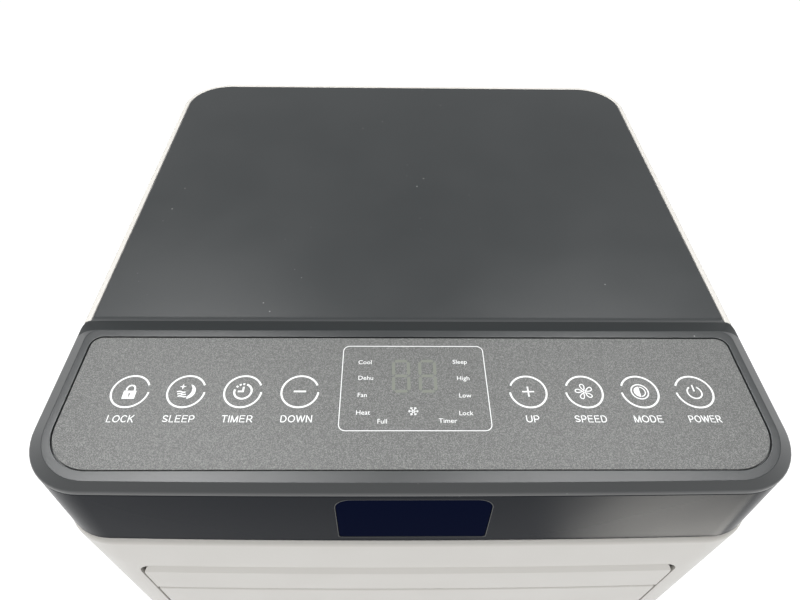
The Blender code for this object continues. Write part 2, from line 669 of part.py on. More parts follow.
def tube(name, points, radius, material, sides=8):
    """A bent tube through these points, with its bends rounded by a smooth curve."""
    curve = bpy.data.curves.new(name, "CURVE")
    curve.dimensions = "3D"
    curve.bevel_depth = radius
    curve.bevel_resolution = sides // 2 - 2
    curve.use_fill_caps = True
    spline = curve.splines.new("POLY")
    smooth = smoothed(points, 4)
    spline.points.add(len(smooth) - 1)
    for point, place_at in zip(spline.points, smooth):
        point.co = (*place_at, 1)
    made = bpy.data.objects.new(name, curve)
    curve.materials.append(material)
    bpy.context.scene.collection.objects.link(made)
    return made


def smoothed(points, steps):
    """Points along a Catmull-Rom curve through the given ones."""
    padded = [Vector(points[0])] + [Vector(p) for p in points] + [Vector(points[-1])]
    found = []
    for a, b, c, d in zip(padded, padded[1:], padded[2:], padded[3:]):
        for i in range(steps):
            t = i / steps
            bend = (2 * a - 5 * b + 4 * c - d) * t**2 + (3 * b - a - 3 * c + d) * t**3
            found.append(0.5 * (2 * b + (c - a) * t + bend))
    return found + [padded[-1]]


def make_pipes():
    ax, ay = ACCUMULATOR
    tube(
        "suction_pipe",
        [(ax, ay, 0.2268), (ax, ay, 0.240), (ax + 0.012, ay + 0.008, 0.266), (0.118, 0.03, 0.300),
         (0.138, 0.08, 0.350), (0.138, 0.084, 0.440), (0.138, 0.100, 0.500), (0.138, 0.126, 0.530)],
        4.5 * MM,
        COPPER,
    )
    cx, cy = COMPRESSOR
    tube(
        "discharge_pipe",
        [(cx + 18 * MM, cy, 0.2350), (cx + 18 * MM, cy, 0.262), (cx + 4 * MM, cy + 50 * MM, 0.268),
         (-0.118, 0.060, 0.272), (-0.138, 0.100, 0.262), (-0.139, 0.136, 0.235), (-0.139, 0.137, 0.200)],
        3.2 * MM,
        COPPER,
    )
    tube(
        "capillary_tube",
        [(0.1385, 0.137, 0.120), (0.139, 0.110, 0.160), (0.144, 0.075, 0.240), (0.1475, 0.066, 0.340),
         (0.1475, 0.072, 0.430), (0.1475, 0.092, 0.462), (0.141, 0.130, 0.474)],
        1.6 * MM,
        COPPER,
        sides=6,
    )


def make_float():
    """The float that lifts when the pan fills, sliding on the pan's post."""
    low = BASE_BOTTOM + BASE_FLOOR + 2 * MM
    high, bore = low + 12 * MM, FLOAT_POST + 0.5 * MM
    profile = [(13 * MM, low), (13 * MM, high), (bore, high), (bore, low)]
    turned("water_float", "Z", FLOAT, profile, WHITE, steps=20)


def make_electrics():
    """A box open to the right, and the capacitor that stands in it."""
    low, high = (Vector(point) for point in ELECTRICS)
    wall = 2 * MM
    case = box("electrical_box", low, high, GREY)
    start = low + Vector((wall, 12 * MM, wall))
    cut(case, box("electrical_box_hollow", start, high + Vector((12 * MM, -wall, -wall))))
    floor = low.z + wall + 1 * MM
    cylinder("run_capacitor", "Z", CAPACITOR, 19 * MM, floor, floor + 69 * MM, FIN, steps=20)


# --- back of the machine ------------------------------------------------------------------------------------


def make_intake(name, levels):
    """A slotted intake panel, and the framed filter that comes out with it."""
    low, high = levels
    a = INTAKE_HALF - GAP
    outline = rounded((-a, low + GAP), (a, high - GAP), 5.7 * MM, 3)
    outside = BACK - 0.2 * MM
    panel = prism(f"{name}_intake_grille", "Y", outline, outside - 5 * MM, outside, WHITE)
    rows = int((high - low - 16 * MM) / SLOT_PITCH)
    first = (low + high) / 2 - (rows - 1) * SLOT_PITCH / 2
    for i in range(rows):
        z = first + i * SLOT_PITCH
        for side in (-1, 1):
            x0, x1 = sorted((side * 6 * MM, side * (INTAKE_HALF - 10 * MM)))
            start, end = (x0, outside - 9 * MM, z - SLOT_HALF), (x1, outside + 9 * MM, z + SLOT_HALF)
            cut(panel, box(f"{name}_slot_{i}_{side}", start, end))
    b = INTAKE_HALF - 4 * MM
    near = outside - 9 * MM
    frame = box(f"{name}_filter", (-b, near, low + 4 * MM), (b, near + 3 * MM, high - 4 * MM), MESH)
    across, up = 3, 2
    width, height = (2 * b - 4 * MM) / across, (high - low - 12 * MM) / up
    for i in range(across):
        for j in range(up):
            x = -b + 2 * MM + i * width
            z = low + 6 * MM + j * height
            start = (x + 2 * MM, near - MM, z + 2 * MM)
            end = (x + width - 2 * MM, near + 4 * MM, z + height - 2 * MM)
            cut(frame, box(f"{name}_pane_{i}_{j}", start, end))


def make_collar():
    """The round exhaust connection, held by a flange behind the casing's wall."""
    inner = BACK - WALL - GAP
    flange = COLLAR_RADIUS + 9 * MM
    profile = [
        (COLLAR_BORE, COLLAR_END), (COLLAR_BORE, inner - 12 * MM), (COLLAR_RADIUS, inner - 12 * MM),
        (COLLAR_RADIUS, inner - 3 * MM), (flange, inner - 3 * MM), (flange, inner), (COLLAR_RADIUS, inner),
        (COLLAR_RADIUS, COLLAR_END),
    ]
    turned("exhaust_collar", "Y", (0, COLLAR_Z), profile, DARK, steps=32)


def make_drain(name, place_at):
    """A drain spout through the wall, and its push-in cap."""
    r = 8 * MM
    out = BACK + 3.5 * MM
    spout = [(5.4 * MM, out), (5.4 * MM, BACK - 9 * MM), (r, BACK - 9 * MM), (r, out)]
    turned(f"{name}_drain_spout", "Y", place_at, spout, GREY, steps=20)
    cap = [(0, 0), (5 * MM, BACK - 4 * MM), (5 * MM, out + GAP), (9 * MM, out + GAP), (9 * MM, out + 5 * MM),
           (7.5 * MM, out + 6.5 * MM), (0, 0)]
    turned(f"{name}_drain_cap", "Y", place_at, cap, RUBBER, steps=20)


def make_gland():
    profile = [(4.2 * MM, BACK + 8 * MM), (4.2 * MM, BACK - 10 * MM), (9 * MM, BACK - 10 * MM),
               (9 * MM, BACK + 1 * MM), (7 * MM, BACK + 8 * MM)]
    turned("cord_gland", "Y", GLAND, profile, RUBBER, steps=20)


# --- casters ------------------------------------------------------------------------------------------------


def make_casters():
    """Four swivel casters, each a fork on a stem, with its axle, and a wheel trailing towards the back."""
    names = ("front_left", "front_right", "rear_left", "rear_right")
    for name, (x, y) in zip(names, caster_places()):
        top = BASE_BOTTOM - 1.2 * MM
        fork = cylinder(f"caster_fork_{name}", "Z", (x, y), 13 * MM, top - 3 * MM, top, DARK, steps=20)
        join(fork, cylinder(f"stem_{name}", "Z", (x, y), STEM, top - 1 * MM, BASE_BOTTOM + 18 * MM, steps=16))
        hub = y + TRAIL
        fore, aft, cheek = hub - 6 * MM, hub + 6 * MM, 6 * MM
        outline = [
            (y - 7 * MM, top - 1 * MM), (fore, WHEEL_RADIUS - cheek), (aft, WHEEL_RADIUS - cheek),
            (aft, WHEEL_RADIUS + cheek), (y + 8 * MM, top - 1 * MM),
        ]
        gap = WHEEL_HALF + 0.7 * MM
        for side in (-1, 1):
            ends = sorted((x + side * gap, x + side * (gap + 2.8 * MM)))
            join(fork, prism(f"cheek_{name}_{side}", "X", outline, *ends))
        reach = gap + 2 * MM
        join(fork, cylinder(f"axle_{name}", "X", (hub, WHEEL_RADIUS), AXLE, x - reach, x + reach, steps=12))
        profile = [
            (AXLE + 0.4 * MM, x - WHEEL_HALF), (WHEEL_RADIUS - 2 * MM, x - WHEEL_HALF),
            (WHEEL_RADIUS, x - WHEEL_HALF + 2 * MM), (WHEEL_RADIUS, x + WHEEL_HALF - 2 * MM),
            (WHEEL_RADIUS - 2 * MM, x + WHEEL_HALF), (AXLE + 0.4 * MM, x + WHEEL_HALF),
        ]
        turned(f"caster_wheel_{name}", "X", (hub, WHEEL_RADIUS), profile, BLACK, steps=24)


make_base_pan()
make_front_casing()
make_rear_casing()
make_top_cover()
make_mid_partition()
make_handles()
make_console_housing()
make_lid()
make_console_inside()
make_blades()
make_louvre_link()
make_louvre_motor()
make_duct()
make_vanes()
make_blower("upper", UPPER_AXIS, DUCT_REAR + GAP, True)
make_blower("lower", LOWER_AXIS, 143 * MM, False)
make_coil("evaporator", *EVAPORATOR)
make_coil("condenser", *CONDENSER)
make_compressor()
make_pipes()
make_float()
make_electrics()
make_intake("upper", UPPER_INTAKE)
make_intake("lower", LOWER_INTAKE)
make_collar()
make_drain("upper", UPPER_DRAIN)
make_drain("lower", LOWER_DRAIN)
make_gland()
make_casters()
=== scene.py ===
"""Looks of a portable air conditioner: shells, console, prints, louvre, back, casters and materials.

Everything is in the row frame, in metres: +Z up, the front faces -Y. Pieces take their places from the
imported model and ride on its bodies.
"""

import json
import math

import bmesh
import bpy
from mathutils import Matrix, Vector


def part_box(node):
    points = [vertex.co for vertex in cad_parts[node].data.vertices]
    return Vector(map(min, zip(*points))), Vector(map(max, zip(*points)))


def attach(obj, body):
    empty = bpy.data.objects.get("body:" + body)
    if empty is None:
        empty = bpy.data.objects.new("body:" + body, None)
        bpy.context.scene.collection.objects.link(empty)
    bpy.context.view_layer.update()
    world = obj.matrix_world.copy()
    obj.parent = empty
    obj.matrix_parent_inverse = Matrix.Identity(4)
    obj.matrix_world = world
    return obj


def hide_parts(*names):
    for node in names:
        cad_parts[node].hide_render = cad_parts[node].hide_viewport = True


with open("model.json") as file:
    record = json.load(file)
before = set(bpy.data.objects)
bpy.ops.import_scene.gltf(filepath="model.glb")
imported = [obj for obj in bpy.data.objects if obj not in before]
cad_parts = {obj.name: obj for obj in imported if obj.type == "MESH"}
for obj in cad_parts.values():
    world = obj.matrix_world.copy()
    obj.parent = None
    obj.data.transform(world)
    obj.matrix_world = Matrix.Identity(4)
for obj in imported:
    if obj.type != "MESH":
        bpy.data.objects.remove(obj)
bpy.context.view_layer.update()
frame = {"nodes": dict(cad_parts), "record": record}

MM = 0.001


def mm(*lengths):
    """Lengths given in millimetres."""
    return tuple(length * MM for length in lengths)


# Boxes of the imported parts, and the measures that follow from them
REAR_LOW, REAR_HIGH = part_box("rear_casing")
FRONT_LOW, FRONT_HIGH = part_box("front_casing")
BASE_LOW, BASE_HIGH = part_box("base_pan")
PLATE_LOW, PLATE_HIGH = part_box("top_cover")
LID_LOW, LID_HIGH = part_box("console_lid")
HOUSING_LOW, HOUSING_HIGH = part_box("console_housing")
FILM_LOW, FILM_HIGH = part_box("control_overlay")
WINDOW_LOW, WINDOW_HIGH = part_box("receiver_window")
DUCT_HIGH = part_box("outlet_duct")[1]
COLLAR_LOW, COLLAR_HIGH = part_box("exhaust_collar")

HALF = REAR_HIGH.x
BACK = REAR_HIGH.y
SEAM = (REAR_LOW.y + FRONT_HIGH.y) / 2
BOW = 1.5 * MM  # the front's bulge at its middle
FRONT = FRONT_LOW.y + BOW
TOP = LID_HIGH.z
PLATE_TOP = PLATE_HIGH.z
WALL = 3.4 * MM
FRONT_WALL = WALL - 0.9 * MM
SEAM_HALF_GAP = 0.15 * MM
FRONT_RADIUS, BACK_RADIUS = mm(28, 31)
CORNER_STEPS = 14
CLEARANCE = 0.3 * MM  # round a part that sits in an opening
BEYOND = 9 * MM  # how far a cutter passes what it cuts

# Console
LID_FRONT = LID_LOW.y + 1.7 * MM  # beside the bow
BAND_FOOT = FRONT + 1.7 * MM  # the housing stands back from the casing's front edge
CONSOLE_RADIUS = 28.5 * MM
BAND_FOOT_RADIUS = 26.5 * MM
BAND_FOOT_INSET = 0.4 * MM
BAND_WALL = 2.5 * MM
LEDGE = 8 * MM  # the casing's rim under the band
DROP = 2.6 * MM  # the band reaches this far down over the casing
BAND_EDGE = 0.2 * MM
LID_BACK = LID_HIGH.y
LID_TOP_HALF = 157 * MM
LID_TOP_FRONT = LID_FRONT + 2.2 * MM
LID_TOP_BACK = LID_BACK - 9.5 * MM
LID_TOP_RADIUS = 25 * MM
LID_EDGE = TOP - 5.6 * MM  # level where the lid starts to lean in
LID_SPLIT = LID_TOP_BACK + 0.6 * MM  # the lid's rear strip starts here; its darker satin paints the shade on the rising step
LID_BOW = 0.9 * MM
STEP_START = LID_BACK + 4 * MM  # where the plate starts to rise towards the console
RECESS = FILM_LOW.z - CLEARANCE
POCKET_LOW, POCKET_HIGH = mm(-148, -160), mm(148, -96)  # room for the circuit board
FILM_GAP, FILM_EDGE = mm(0.5, 0.25)
FILM_FRONT_RADIUS, FILM_BACK_RADIUS = mm(20, 5)
WINDOW_RADII = mm(1.5, 1.5, 7, 7)
RIM_HALF = 0.12 * MM  # half the width of the rim round the receiver window

# Printing on the film
PRINT_LEVEL = FILM_HIGH.z
PRINT_THICK = 0.03 * MM
PRINT_TOP = PRINT_LEVEL + PRINT_THICK
KEY_X = mm(-126.4, -101.5, -76.2, -50.7, 52.1, 77.5, 102.8, 127.7)
KEY_Y = -125.1 * MM
KEY_RADIUS, KEY_STROKE = mm(8.25, 0.85)
RING_GAP = 13  # half of the gap in each ring, in degrees
CAPTION_Y, CAPTION_SHIFT, CAPTION_CAP = mm(-139.1, -0.1, 3.5)
WORD_CAP = 2.2 * MM
DISPLAY_LOW, DISPLAY_HIGH = mm(-32.4, -144.9), mm(33.8, -99.5)
DISPLAY_STROKE = 0.36 * MM
SNOWFLAKE_Y = -135.3 * MM
DIGIT_X = mm(-5.2, 7.0)
DIGIT_Y = -116.6 * MM
DIGIT_WIDE, DIGIT_TALL = mm(8.4, 18.2)
BAR_THICK, BAR_GAP = mm(1.5, 0.35)

# Outlet
OUTLET_HALF = 136.3 * MM
OUTLET_TOP = 607 * MM
OUTLET_RADIUS = 9 * MM
OUTLET_MARGIN = 18.4 * MM  # from the outlet's edge to the axis of the nearest blade
BLADES = 4
BLADE_LOW, BLADE_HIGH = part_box("louvre_blade_1")
LAST_LOW, LAST_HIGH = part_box("louvre_blade_4")
BLADE_FACE = BLADE_LOW.y
BLADE_THICK = 5.5 * MM
BLADE_BACK = BLADE_FACE + BLADE_THICK
BLADE_SINK = 0.1 * MM  # the blades' faces lie just inside the casing's
BLADE_HALF = 135.4 * MM
BLADE_HALF_HEIGHT = (BLADE_HIGH.z - BLADE_LOW.z) / 2
BLADE_AXIS_Y = -166.5 * MM
BLADE_PITCH = (BLADE_HIGH.z - LAST_HIGH.z) / (BLADES - 1)
OUTLET_BOTTOM = OUTLET_TOP - 2 * OUTLET_MARGIN - (BLADES - 1) * BLADE_PITCH
CRANK = 12 * MM
PIN = 1.9 * MM

# Back
COLLAR_Z = (COLLAR_LOW.z + COLLAR_HIGH.z) / 2
COLLAR_RADIUS, COLLAR_BORE = mm(65, 62)
DRAIN_HOLE = 8.4 * MM
COIL_BENDS = 8 * MM  # the hairpins stand out this far beside the fins
SCREW_SPOTS = ((104, 306), (104, 446), (129.6, 560), (129.6, 200))  # to either side, and up
SCREWS = [(side * x * MM, z * MM) for side in (-1, 1) for x, z in SCREW_SPOTS]


# --- shapes ---


def linked(name, data):
    """A new object in the scene."""
    made = bpy.data.objects.new(name, data)
    bpy.context.scene.collection.objects.link(made)
    return made


def keep(name, bm):
    bmesh.ops.recalc_face_normals(bm, faces=bm.faces)
    mesh = bpy.data.meshes.new(name)
    bm.to_mesh(mesh)
    bm.free()
    return linked(name, mesh)


def skin(bm, rings, closed=False):
    """Faces through rings of points, capped at the ends, or back to the first ring if closed."""
    rows = [[bm.verts.new(point) for point in ring] for ring in rings]
    pairs = list(zip(rows, rows[1:]))
    if closed:
        pairs.append((rows[-1], rows[0]))
    else:
        bm.faces.new(rows[0])
        bm.faces.new(rows[-1])
    for low, high in pairs:
        for i in range(len(low)):
            j = (i + 1) % len(low)
            bm.faces.new((low[i], low[j], high[j], high[i]))


def loft(name, rings, closed=False):
    bm = bmesh.new()
    skin(bm, rings, closed)
    return keep(name, bm)


def place(axis, across, up, along):
    """A point from its two coordinates across an axis, in the order X, Y, Z, and the one along it."""
    if axis == "X":
        return (along, across, up)
    if axis == "Y":
        return (across, along, up)
    return (across, up, along)


def prism(name, axis, outline, low, high):
    return loft(name, [[place(axis, a, b, along) for a, b in outline] for along in (low, high)])


def box(name, low, high):
    outline = [(low[0], low[1]), (high[0], low[1]), (high[0], high[1]), (low[0], high[1])]
    return prism(name, "Z", outline, low[2], high[2])


def circle(centre, radius, steps=48):
    turn = 2 * math.pi / steps
    return [
        (centre[0] + radius * math.sin(turn * i), centre[1] - radius * math.cos(turn * i))
        for i in range(steps)
    ]


def cylinder(name, axis, centre, radius, low, high, steps=48):
    return prism(name, axis, circle(centre, radius, steps), low, high)


def turned(name, axis, centre, profile, steps=48):
    """A closed profile of (radius, along) turned about an axis, or one that starts and ends on the axis."""
    solid = profile[0][0] == 0
    rings = [
        [place(axis, a, b, along) for a, b in circle(centre, radius, steps)]
        for radius, along in (profile[1:-1] if solid else profile)
    ]
    return loft(name, rings, closed=not solid)


def oval(x, y, across, up, start, end, steps=20):
    """Part of an ellipse from one angle to another, in degrees, counter-clockwise from +X."""
    angles = [math.radians(start + (end - start) * i / steps) for i in range(steps + 1)]
    return [(x + across * math.cos(a), y + up * math.sin(a)) for a in angles]


def arc(centre, radius, start, end, steps=32):
    """Part of a circle from one angle to another, in degrees, counter-clockwise from +X."""
    return oval(*centre, radius, radius, start, end, steps)


def corner(centre, radius, start, steps):
    """A quarter of a circle, counter-clockwise from the angle start."""
    return arc(centre, radius, start, start + 90, steps)


def rounded(low, high, radii, steps=10):
    """A rectangle with its corners rounded: radii in the order low-low, high-low, high-high, low-high."""
    if not isinstance(radii, tuple):
        radii = (radii,) * 4
    a, b, c, d = radii
    return (
        corner((low[0] + a, low[1] + a), a, 180, steps)
        + corner((high[0] - b, low[1] + b), b, 270, steps)
        + corner((high[0] - c, high[1] - c), c, 0, steps)
        + corner((low[0] + d, high[1] - d), d, 90, steps)
    )


def eased(points, radii, steps=5):
    """An open line whose inner corners are rounded with these radii."""
    made = [points[0]]
    for before, at, after, radius in zip(points, points[1:], points[2:], radii):
        a, b, c = Vector(before), Vector(at), Vector(after)
        inward, outward = (a - b).normalized(), (c - b).normalized()
        angle = inward.angle(outward)
        reach = radius / math.tan(angle / 2)
        centre = b + (inward + outward).normalized() * (radius / math.sin(angle / 2))
        start, end = b + inward * reach - centre, b + outward * reach - centre
        for i in range(steps + 1):
            arm = start.slerp(end, i / steps)
            made.append(tuple(centre + arm.normalized() * radius))
    return made + [points[-1]]


def at_level(outline, z):
    return [(x, y, z) for x, y in outline]


def quarter_turn(steps=4):
    """The sine and the cosine of the angles over a quarter of a turn."""
    angles = [math.radians(90 * i / steps) for i in range(steps + 1)]
    return [(math.sin(a), math.cos(a)) for a in angles]


def between(low, high, share):
    return low + (high - low) * share


def smooth_step(share):
    share = min(max(share, 0.0), 1.0)
    return share * share * (3 - 2 * share)


def evaluated(target):
    """The mesh that the target's modifiers or its text make."""
    bpy.context.view_layer.update()
    graph = bpy.context.evaluated_depsgraph_get()
    return bpy.data.meshes.new_from_object(target.evaluated_get(graph))


def bake(target):
    """Applies the target's modifiers and removes the helpers that they used."""
    mesh = evaluated(target)
    helpers = {step.object for step in target.modifiers if step.type == "BOOLEAN"}
    target.modifiers.clear()
    target.data = mesh
    for helper in helpers:
        bpy.data.objects.remove(helper)


def boolean(target, operation, helpers):
    for helper in helpers:
        step = target.modifiers.new(helper.name, "BOOLEAN")
        step.operation = operation
        step.object = helper
        step.solver = "EXACT"
    bake(target)


def cut(target, *cutters):
    boolean(target, "DIFFERENCE", cutters)


def join(target, *others):
    boolean(target, "UNION", others)


def bevel(target, method, width, segments):
    step = target.modifiers.new("eased", "BEVEL")
    step.limit_method = method
    step.width = width
    step.segments = segments
    return step


def ease(target, width, segments=3, angle=40, skip=None):
    """Rounds the edges that turn more than the angle, apart from those that skip() picks by their middle."""
    bm = bmesh.new()
    bm.from_mesh(target.data)
    bmesh.ops.remove_doubles(bm, verts=bm.verts, dist=1e-6)
    bmesh.ops.dissolve_limit(bm, angle_limit=math.radians(0.03), verts=bm.verts, edges=bm.edges)
    weights = bm.edges.layers.float.new("bevel_weight_edge")
    for edge in bm.edges:
        sharp = len(edge.link_faces) == 2 and edge.calc_face_angle(0) > math.radians(angle)
        if sharp and not (skip and skip((edge.verts[0].co + edge.verts[1].co) / 2)):
            edge[weights] = 1.0
    bm.to_mesh(target.data)
    bm.free()
    bevel(target, "WEIGHT", width, segments)
    bake(target)


def joined(name, objects):
    """One object holding the separate solids of several."""
    bm = bmesh.new()
    for one in objects:
        one.data.transform(one.matrix_world)
        bm.from_mesh(one.data)
        bpy.data.objects.remove(one)
    return keep(name, bm)


def shown(target, slot, *nodes, body="cabinet", sharp=35):
    """Finishes a piece: its shading, its material, the body it rides on and the nodes it replaces."""
    target.data.shade_smooth()
    target.data.set_sharp_from_angle(angle=math.radians(sharp))
    step = target.modifiers.new("flat_faces_stay_flat", "WEIGHTED_NORMAL")
    step.keep_sharp = True
    target.data.materials.clear()
    target.data.materials.append(FINISHES[slot])
    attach(target, body)
    if nodes:
        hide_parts(*nodes)


# --- materials ---


def put(node, values):
    """Sets a node's sockets by their names."""
    for socket, value in values.items():
        node.inputs[socket].default_value = value


def texture(tree, kind, size):
    """A texture with features of about this size, fixed to the object."""
    made = tree.nodes.new(kind)
    put(made, {"Scale": 1.0 / size})
    where = tree.nodes.new("ShaderNodeTexCoord")
    tree.links.new(where.outputs["Object"], made.inputs["Vector"])
    return made


def noise(tree, size, detail=2.0):
    made = texture(tree, "ShaderNodeTexNoise", size)
    put(made, {"Detail": detail})
    return made.outputs["Fac"]


def ranged(tree, value, low, high, to_low, to_high):
    """The value, carried over from one range to another and held inside it."""
    fit = tree.nodes.new("ShaderNodeMapRange")
    put(fit, {"From Min": low, "From Max": high, "To Min": to_low, "To Max": to_high})
    tree.links.new(value, fit.inputs["Value"])
    return fit.outputs["Result"]


def blended(tree, share, colour, other):
    """A colour that gives way to another one by this share."""
    mix = tree.nodes.new("ShaderNodeMix")
    mix.data_type = "RGBA"
    put(mix, {"A": (*colour, 1.0), "B": (*other, 1.0)})
    tree.links.new(share, mix.inputs["Factor"])
    return mix.outputs["Result"]


def mottled(tree, roughness, size, share):
    """Patches of this size, rougher and smoother by this share."""
    smooth, rough = roughness * (1 - share), roughness * (1 + share)
    return ranged(tree, noise(tree, size * MM, 4.0), 0.3, 0.7, smooth, rough)


def flecked(tree, colour, size, share, fleck):
    """Tiny flakes of another colour over this share of the surface."""
    flakes = ranged(tree, noise(tree, size * MM, 1.0), 1 - share - 0.12, 1 - share + 0.12, 0.0, 1.0)
    return blended(tree, flakes, colour, fleck)


def dusted(tree, colour, spacing, share):
    """Rare pale grains, in patches."""
    spacing = spacing * MM
    cells = texture(tree, "ShaderNodeTexVoronoi", spacing)
    grains = ranged(tree, cells.outputs["Distance"], share, 1.8 * share, 1.0, 0.0)
    patches = ranged(tree, noise(tree, 9 * spacing), 0.55, 0.6, 0.0, 0.4)
    mask = tree.nodes.new("ShaderNodeMath")
    mask.operation = "MULTIPLY"
    tree.links.new(grains, mask.inputs[0])
    tree.links.new(patches, mask.inputs[1])
    return blended(tree, mask.outputs["Value"], colour, (0.6, 0.6, 0.58))


def grained(tree, size, depth):
    """Fine bumps."""
    bump = tree.nodes.new("ShaderNodeBump")
    put(bump, {"Distance": depth * MM})
    tree.links.new(noise(tree, size * MM), bump.inputs["Height"])
    return bump.outputs["Normal"]


def finish(name, colour, roughness, metallic=0.0, ior=1.46, grain=None, mottle=None, specks=None, dust=None):
    """A procedural material. With sizes in millimetres, grain is (size, depth) of its bumps, mottle
    (size, share) of its roughness's patches, specks (size, share, colour) of its flakes, and dust
    (spacing, share) of its pale grains."""
    made = bpy.data.materials.new(name)
    made.use_nodes = True
    tree = made.node_tree
    shader = tree.nodes["Principled BSDF"]
    put(shader, {"Base Color": (*colour, 1.0), "Roughness": roughness, "Metallic": metallic, "IOR": ior})
    if mottle:
        tree.links.new(mottled(tree, roughness, *mottle), shader.inputs["Roughness"])
    if specks:
        tree.links.new(flecked(tree, colour, *specks), shader.inputs["Base Color"])
    if dust:
        tree.links.new(dusted(tree, colour, *dust), shader.inputs["Base Color"])
    if grain:
        tree.links.new(grained(tree, *grain), shader.inputs["Normal"])
    return made


WHITE = (1.0, 1.0, 1.0, 1.0)
LOOKS = (
    ("white_casing", (0.59, 0.573, 0.54), 0.34, dict(grain=(0.9, 0.02), mottle=(30, 0.12))),
    ("dark_satin", (0.030, 0.033, 0.0345), 0.32,
     dict(ior=1.5, grain=(0.35, 0.02), mottle=(60, 0.1), dust=(8, 0.035))),
    ("dark_gloss", (0.009, 0.011, 0.015), 0.22, dict(ior=1.1, mottle=(40, 0.15))),
    ("overlay_film", (0.0705, 0.0725, 0.0705), 0.42,
     dict(ior=1.5, grain=(0.3, 0.07), specks=(0.34, 0.44, (0.196, 0.2, 0.194)))),
    ("window_gloss", (0.002, 0.004, 0.018), 0.05, dict(ior=1.02)),
    ("circuit_board", (0.02, 0.16, 0.06), 0.45, dict(mottle=(8, 0.3))),
    ("grey_plastic", (0.33, 0.34, 0.35), 0.5, dict(grain=(0.8, 0.03))),
    ("aluminium_fin", (0.72, 0.74, 0.76), 0.32, dict(metallic=1.0, mottle=(10, 0.2))),
    ("bare_steel", (0.55, 0.56, 0.57), 0.38, dict(metallic=1.0, mottle=(6, 0.3))),
    ("black_paint", (0.014, 0.014, 0.015), 0.35, dict(grain=(1.2, 0.02))),
    ("copper_tube", (0.72, 0.34, 0.18), 0.28, dict(metallic=1.0, mottle=(12, 0.35))),
    ("black_rubber", (0.018, 0.018, 0.018), 0.75, dict(grain=(0.6, 0.03))),
    ("filter_mesh", (0.045, 0.05, 0.06), 0.7, dict(grain=(0.5, 0.03))),
)
FINISHES = {slot: finish(slot, colour, roughness, **more) for slot, colour, roughness, more in LOOKS}
# A darker, duller copy of the satin for the lid's rear strip: painted shade where the step rises to the
# console
LIP = finish("painted_shade_lip", (0.02, 0.0225, 0.0235), 0.45, ior=1.2, grain=(0.35, 0.02))
INK = finish("print_white", (0.78, 0.79, 0.79), 0.5)
GHOST = finish("unlit_segments", (0.152, 0.165, 0.138), 0.45)
FLOOR = finish("pale_floor", (0.27, 0.27, 0.27), 0.9)
put(FLOOR.node_tree.nodes["Principled BSDF"], {"Emission Color": WHITE, "Emission Strength": 0.88})


# --- casings ---


def bowed_front(half, front, radius, bow):
    """The line round a front with large corners and a bowed middle, from its left to its right."""
    flat = half - radius
    left = corner((-flat, front + radius), radius, 180, CORNER_STEPS)
    right = corner((flat, front + radius), radius, 270, CORNER_STEPS)
    middle = [(flat * s / 8, front - bow * (1 - (s / 8) ** 2)) for s in range(-7, 8)]
    return left + middle + right


def rear_corners(half, back, radius, steps=CORNER_STEPS):
    x, y = half - radius, back - radius
    return corner((x, y), radius, 0, steps) + corner((-x, y), radius, 90, steps)


def front_path(inset, seam):
    """The plan of the front half, from its left seam round the bowed front to its right seam."""
    half = HALF - inset
    return [(-half, seam)] + bowed_front(half, FRONT + inset, FRONT_RADIUS - inset, BOW) + [(half, seam)]


def back_path(inset, seam, steps=CORNER_STEPS):
    """The plan of the rear half, from its right seam round the back to its left seam."""
    half = HALF - inset
    return [(half, seam)] + rear_corners(half, BACK - inset, BACK_RADIUS - inset, steps) + [(-half, seam)]


def body_plan(inset):
    return front_path(inset, SEAM)[1:-1] + back_path(inset, SEAM)[1:-1]


def shell(name, path, seam, wall, low, high, top_round, rim=0.0):
    """A wall along half of the plan, its outer edge rounded at the top, and a rim inside its top edge."""
    profile = [(0.4 * MM, low), (0.0, low + 0.4 * MM)]
    profile += [(top_round * (1 - c), high - top_round * (1 - s)) for s, c in quarter_turn(6)]
    if rim:
        profile += [(rim, high), (rim, high - 2 * MM), (wall, high - 2 * MM), (wall, low)]
    else:
        profile += [(wall - 0.3 * MM, high), (wall, high - 0.3 * MM), (wall, low)]
    paths = [path(inset, seam) for inset, _ in profile]
    stations = range(len(paths[0]))
    return loft(name, [[(*line[i], z) for line, (_, z) in zip(paths, profile)] for i in stations])


def middle_of(node):
    low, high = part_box(node)
    return ((low.x + high.x) / 2, (low.z + high.z) / 2)


UPPER_DRAIN = middle_of("upper_drain_spout")
LOWER_DRAIN = middle_of("lower_drain_spout")
GLAND = middle_of("cord_gland")


def outline_of(node, axis, radius, grow=0.0, steps=10):
    """A node's outline along an axis, with rounded corners, larger by this much all round."""
    low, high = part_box(node)
    across = 1 if axis == "X" else 0
    return rounded((low[across] - grow, low.z - grow), (high[across] + grow, high.z + grow), radius, steps)


def opening(name, axis, node, radius, start, end):
    """A cutter for a part's seat, with a clearance round the part."""
    return prism(name, axis, outline_of(node, axis, radius, CLEARANCE), start, end)


def make_front_casing():
    seam, top = SEAM - SEAM_HALF_GAP, FRONT_HIGH.z - DROP
    front = shell("front_shell", front_path, seam, FRONT_WALL, FRONT_LOW.z, top, 2.6 * MM, LEDGE)
    window = rounded((-OUTLET_HALF, OUTLET_BOTTOM), (OUTLET_HALF, OUTLET_TOP), OUTLET_RADIUS)
    cut(front, prism("outlet_window", "Y", window, FRONT - 20 * MM, FRONT + 15 * MM))
    ease(front, 0.5 * MM)
    shown(front, "white_casing", "front_casing")


